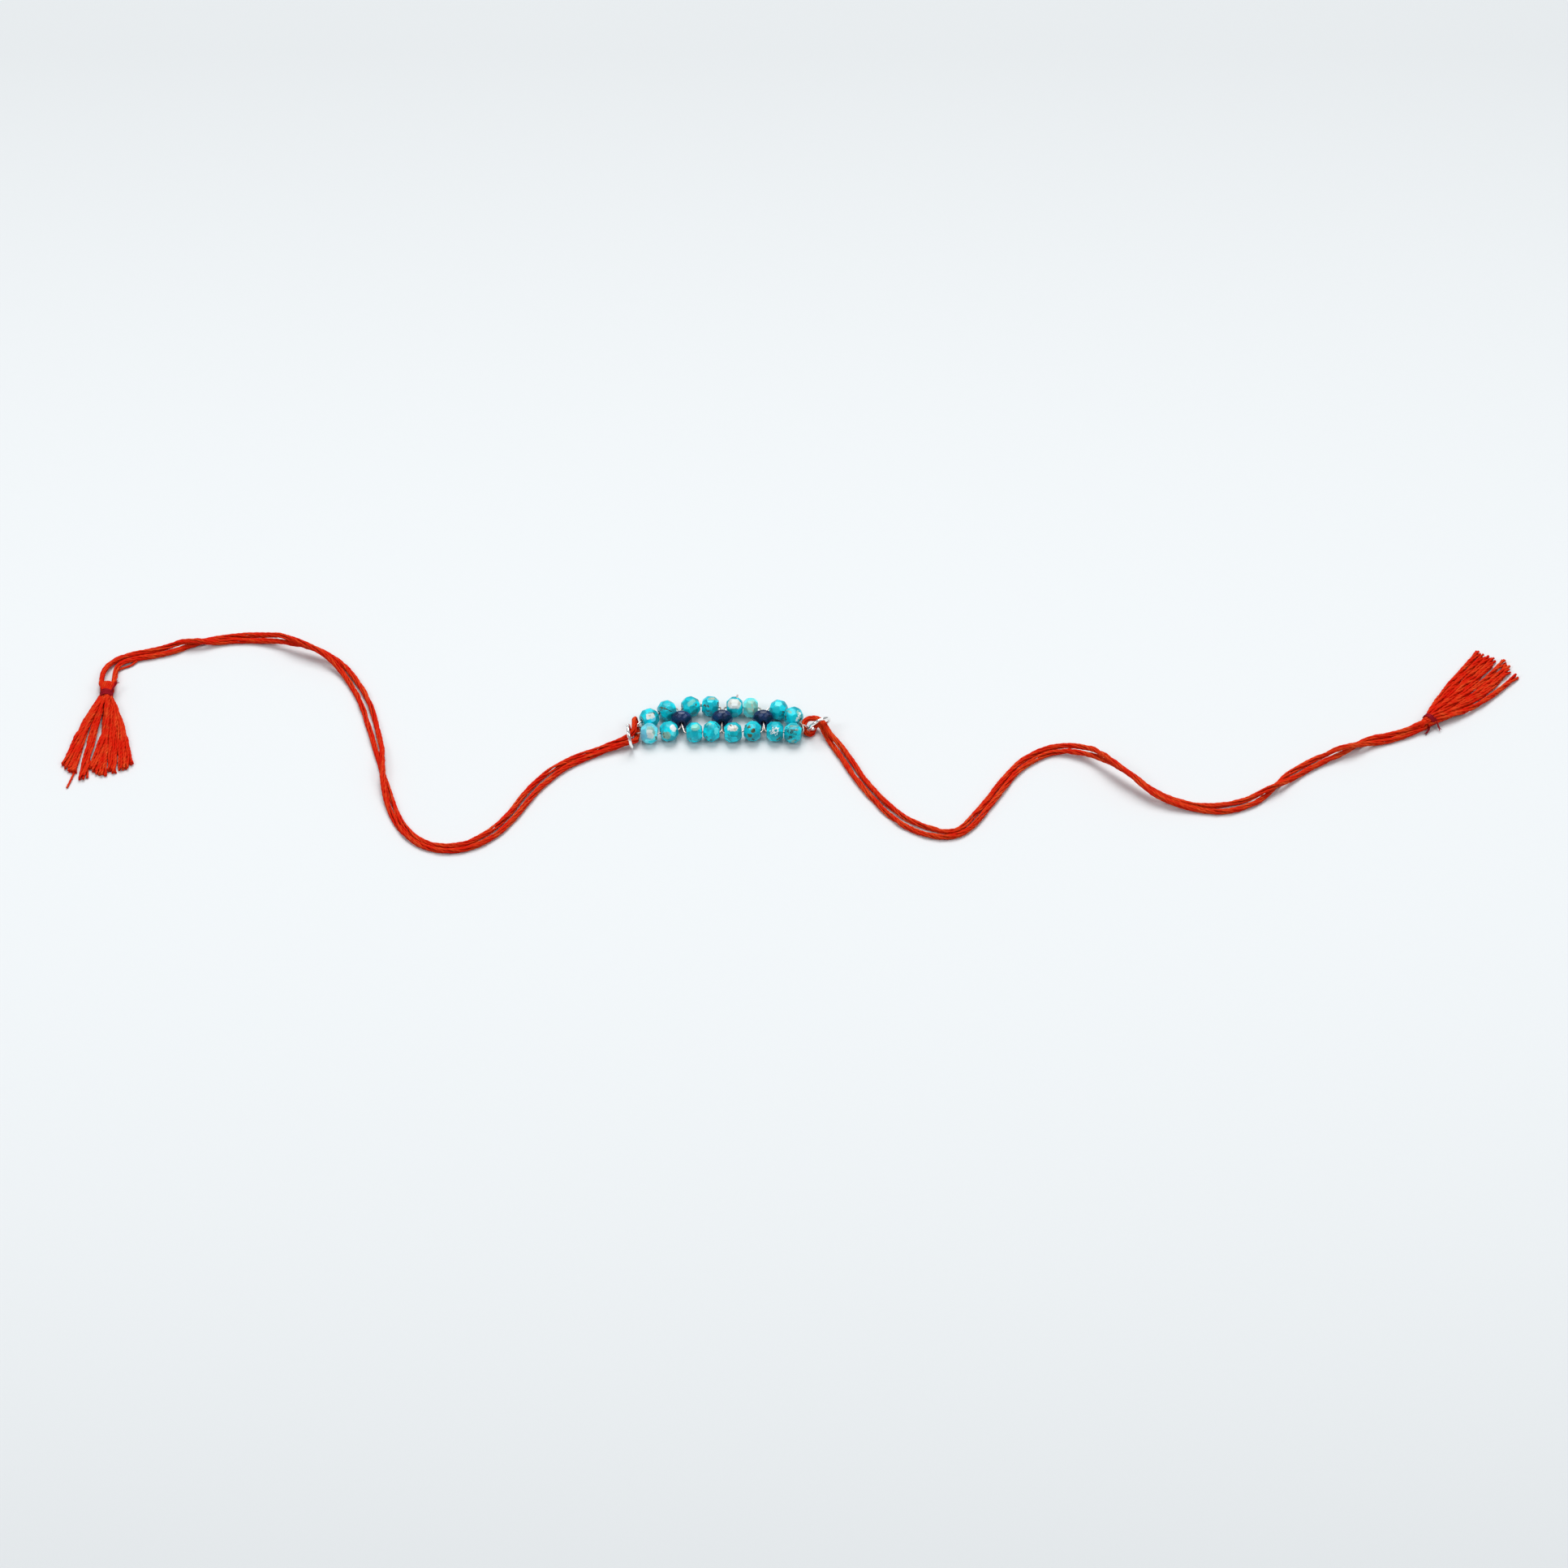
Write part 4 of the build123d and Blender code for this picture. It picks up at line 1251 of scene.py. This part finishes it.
def patched(tree, patches, colour, place, mark):
    """The colour with one more patch over it."""
    tint, right, up, end_right, end_up, radius, ragged, strength = mark
    return place_group(
        tree, patches, Color=colour, Place=place, Start=seen_from_front(right, up),
        End=seen_from_front(end_right, end_up), Radius=radius, Ragged=ragged, Patch_Color=tint,
        Strength=strength,
    )["Color"]


def facet_shaded(tree, facet_shades, colour, tones):
    darkest, lightest = tones
    return place_group(tree, facet_shades, Color=colour, Darkest=darkest, Lightest=lightest)["Color"]


def turquoise_material(key, number, group, patches, facet_shades):
    bright, deep, pale, pale_share, vein_share, marks = stones[key]
    material, tree, shader = principled(f"turquoise_{key}")
    own, shifted = bead_place(tree, f"turquoise_bead_{key}", number)
    made = place_group(
        tree, group, Place=shifted, Bright=bright, Deep=deep, Pale=pale, Vein=brown, Pale_Share=pale_share,
        Vein_Share=vein_share,
    )
    colour = facet_shaded(tree, facet_shades, made["Color"], stone_facet_shades)
    for mark in marks:
        colour = patched(tree, patches, colour, own, mark)
    finish_shader(
        tree, shader, made["Height"], stone_bumps, Base_Color=facet_shaded(tree, facet_shades, colour, patch_facet_shades),
        Roughness=made["Roughness"], Specular_IOR_Level=0.22, Coat_Weight=0.06, Coat_Roughness=0.15,
    )
    return material


# Painted highlights: the two lighter facets of each blue bead where the lights reflect, seen from the front:
# right and up to right and up.
blue_painted_highlights = {
    1: [(-0.48, 0.62, -0.24, 0.80), (0.60, 0.52, 0.84, 0.70)],
    2: [(-0.58, 0.66, -0.32, 0.82), (0.50, 0.64, 0.72, 0.80)],
    3: [(-0.62, 0.62, -0.32, 0.78), (0.50, 0.56, 0.74, 0.82)],
}
navy = (0.003, 0.017, 0.068)
light_navy = (0.006, 0.027, 0.100)
# Colour of the painted highlights on the blue beads
highlight_blue = (0.055, 0.080, 0.17)
# Radius, raggedness and strength of those painted highlights' patches
highlight_patch = (0.25, 0.1, 0.9)


def blue_material(number, patches, facet_shades):
    """Deep navy glass with faint clouds, two painted highlights on lighter facets and polish marks."""
    material, tree, shader = principled(f"blue_glass_{number}")
    own, shifted = bead_place(tree, f"blue_bead_{number}", number)
    cloud = smooth_step(noise(shifted, 0.6, 3.0), 0.35, 0.7)
    colour = mix_colour(cloud, navy, light_navy)
    # Painted highlights: two lighter facets that stand for the lights' reflections
    for mark in blue_painted_highlights[number]:
        colour = patched(tree, patches, colour, own, (highlight_blue, *mark, *highlight_patch))
    roughness = smooth_step(noise(shifted, 5.0, 3.0), 0.2, 0.9, 0.22, 0.34)
    finish_shader(
        tree, shader, noise(shifted, 1.4, 2.0), glass_bumps, Roughness=roughness,
        Base_Color=facet_shaded(tree, facet_shades, colour, glass_facet_shades), Specular_IOR_Level=0.3, Coat_Weight=0.08,
        Coat_Roughness=0.12,
    )
    return material


def dress_nodes():
    smooth_tree = smooth_faces_tree()
    stone = stone_group()
    patches = patch_group()
    facet_shades = facet_shade_group()
    wear = metal_wear_group()
    silver = metal_material("polished_silver", wear, silver_look)
    wire = metal_material("bead_wire_metal", wear, wire_look)
    for number, key in enumerate(stones, start=1):
        turquoise = turquoise_material(key, number, stone, patches, facet_shades)
        seed = number * turquoise_facet_step
        dress_node(f"turquoise_bead_{key}", turquoise, smooth_tree, turquoise_edge, seed)
    for number in blue_painted_highlights:
        glass = blue_material(number, patches, facet_shades)
        dress_node(f"blue_bead_{number}", glass, smooth_tree, blue_edge, number * blue_facet_step)
    for name in ("left_ring", "right_ring"):
        dress_node(name, silver, smooth_tree)
    dress_node("bead_wire", wire, smooth_tree)
    add_wire_ends(wire)


dress_nodes()


# Floor, light and background, in metres. The floor's painted light falloff: its tone falls with the square of
# the distance from its brightest line, down to the darkest tone.

floor_size = 30.0
floor_colour = (0.735, 0.758, 0.768)
brightest_line = -0.055
brightest_tone = 1.008
floor_fall = -2.7
darkest_tone = 0.84

lights = [
    # name, place, size, power
    ("back_light", (0.0, 0.60, 1.2), 0.9, 15.2),
    ("left_softbox", (-0.85, -0.45, 1.05), 0.5, 3.6),
    ("right_softbox", (0.85, -0.45, 1.05), 0.5, 3.0),
]
room_colour = (0.92, 0.96, 1.0)
room_light = 0.36


def make_floor():
    half = floor_size / 2
    mesh = bpy.data.meshes.new("floor")
    corners = [(-half, -half, 0), (half, -half, 0), (half, half, 0), (-half, half, 0)]
    mesh.from_pydata(corners, [], [(0, 1, 2, 3)])
    paper, tree, shader = principled("floor_paper")
    # Painted light falloff on the floor, brightest along one line
    away = minus(parts(object_place(tree))[1], brightest_line)
    painted_falloff = times(times(away, away), floor_fall)
    tone = math_node("MAXIMUM", plus(painted_falloff, brightest_tone), darkest_tone)
    set_inputs(shader, {"Base_Color": scaled(floor_colour, tone), "Roughness": 0.9})
    mesh.materials.append(paper)
    add_object("floor", mesh)


def add_light(name, place, size, power):
    """A square light turned to the middle of the table."""
    data = bpy.data.lights.new(name, "AREA")
    data.size = size
    data.energy = power
    lamp = add_object(name, data)
    lamp.location = place
    lamp.rotation_mode = "QUATERNION"
    lamp.rotation_quaternion = (Vector() - Vector(place)).to_track_quat("-Z", "Y")
    lamp.visible_camera = False


make_floor()
for light in lights:
    add_light(*light)
world = bpy.data.worlds.new("room")
bpy.context.scene.world = world
world.use_nodes = True
background = world.node_tree.nodes["Background"]
set_inputs(background, {"Color": room_colour, "Strength": room_light})
bpy.context.scene.view_settings.view_transform = "Standard"
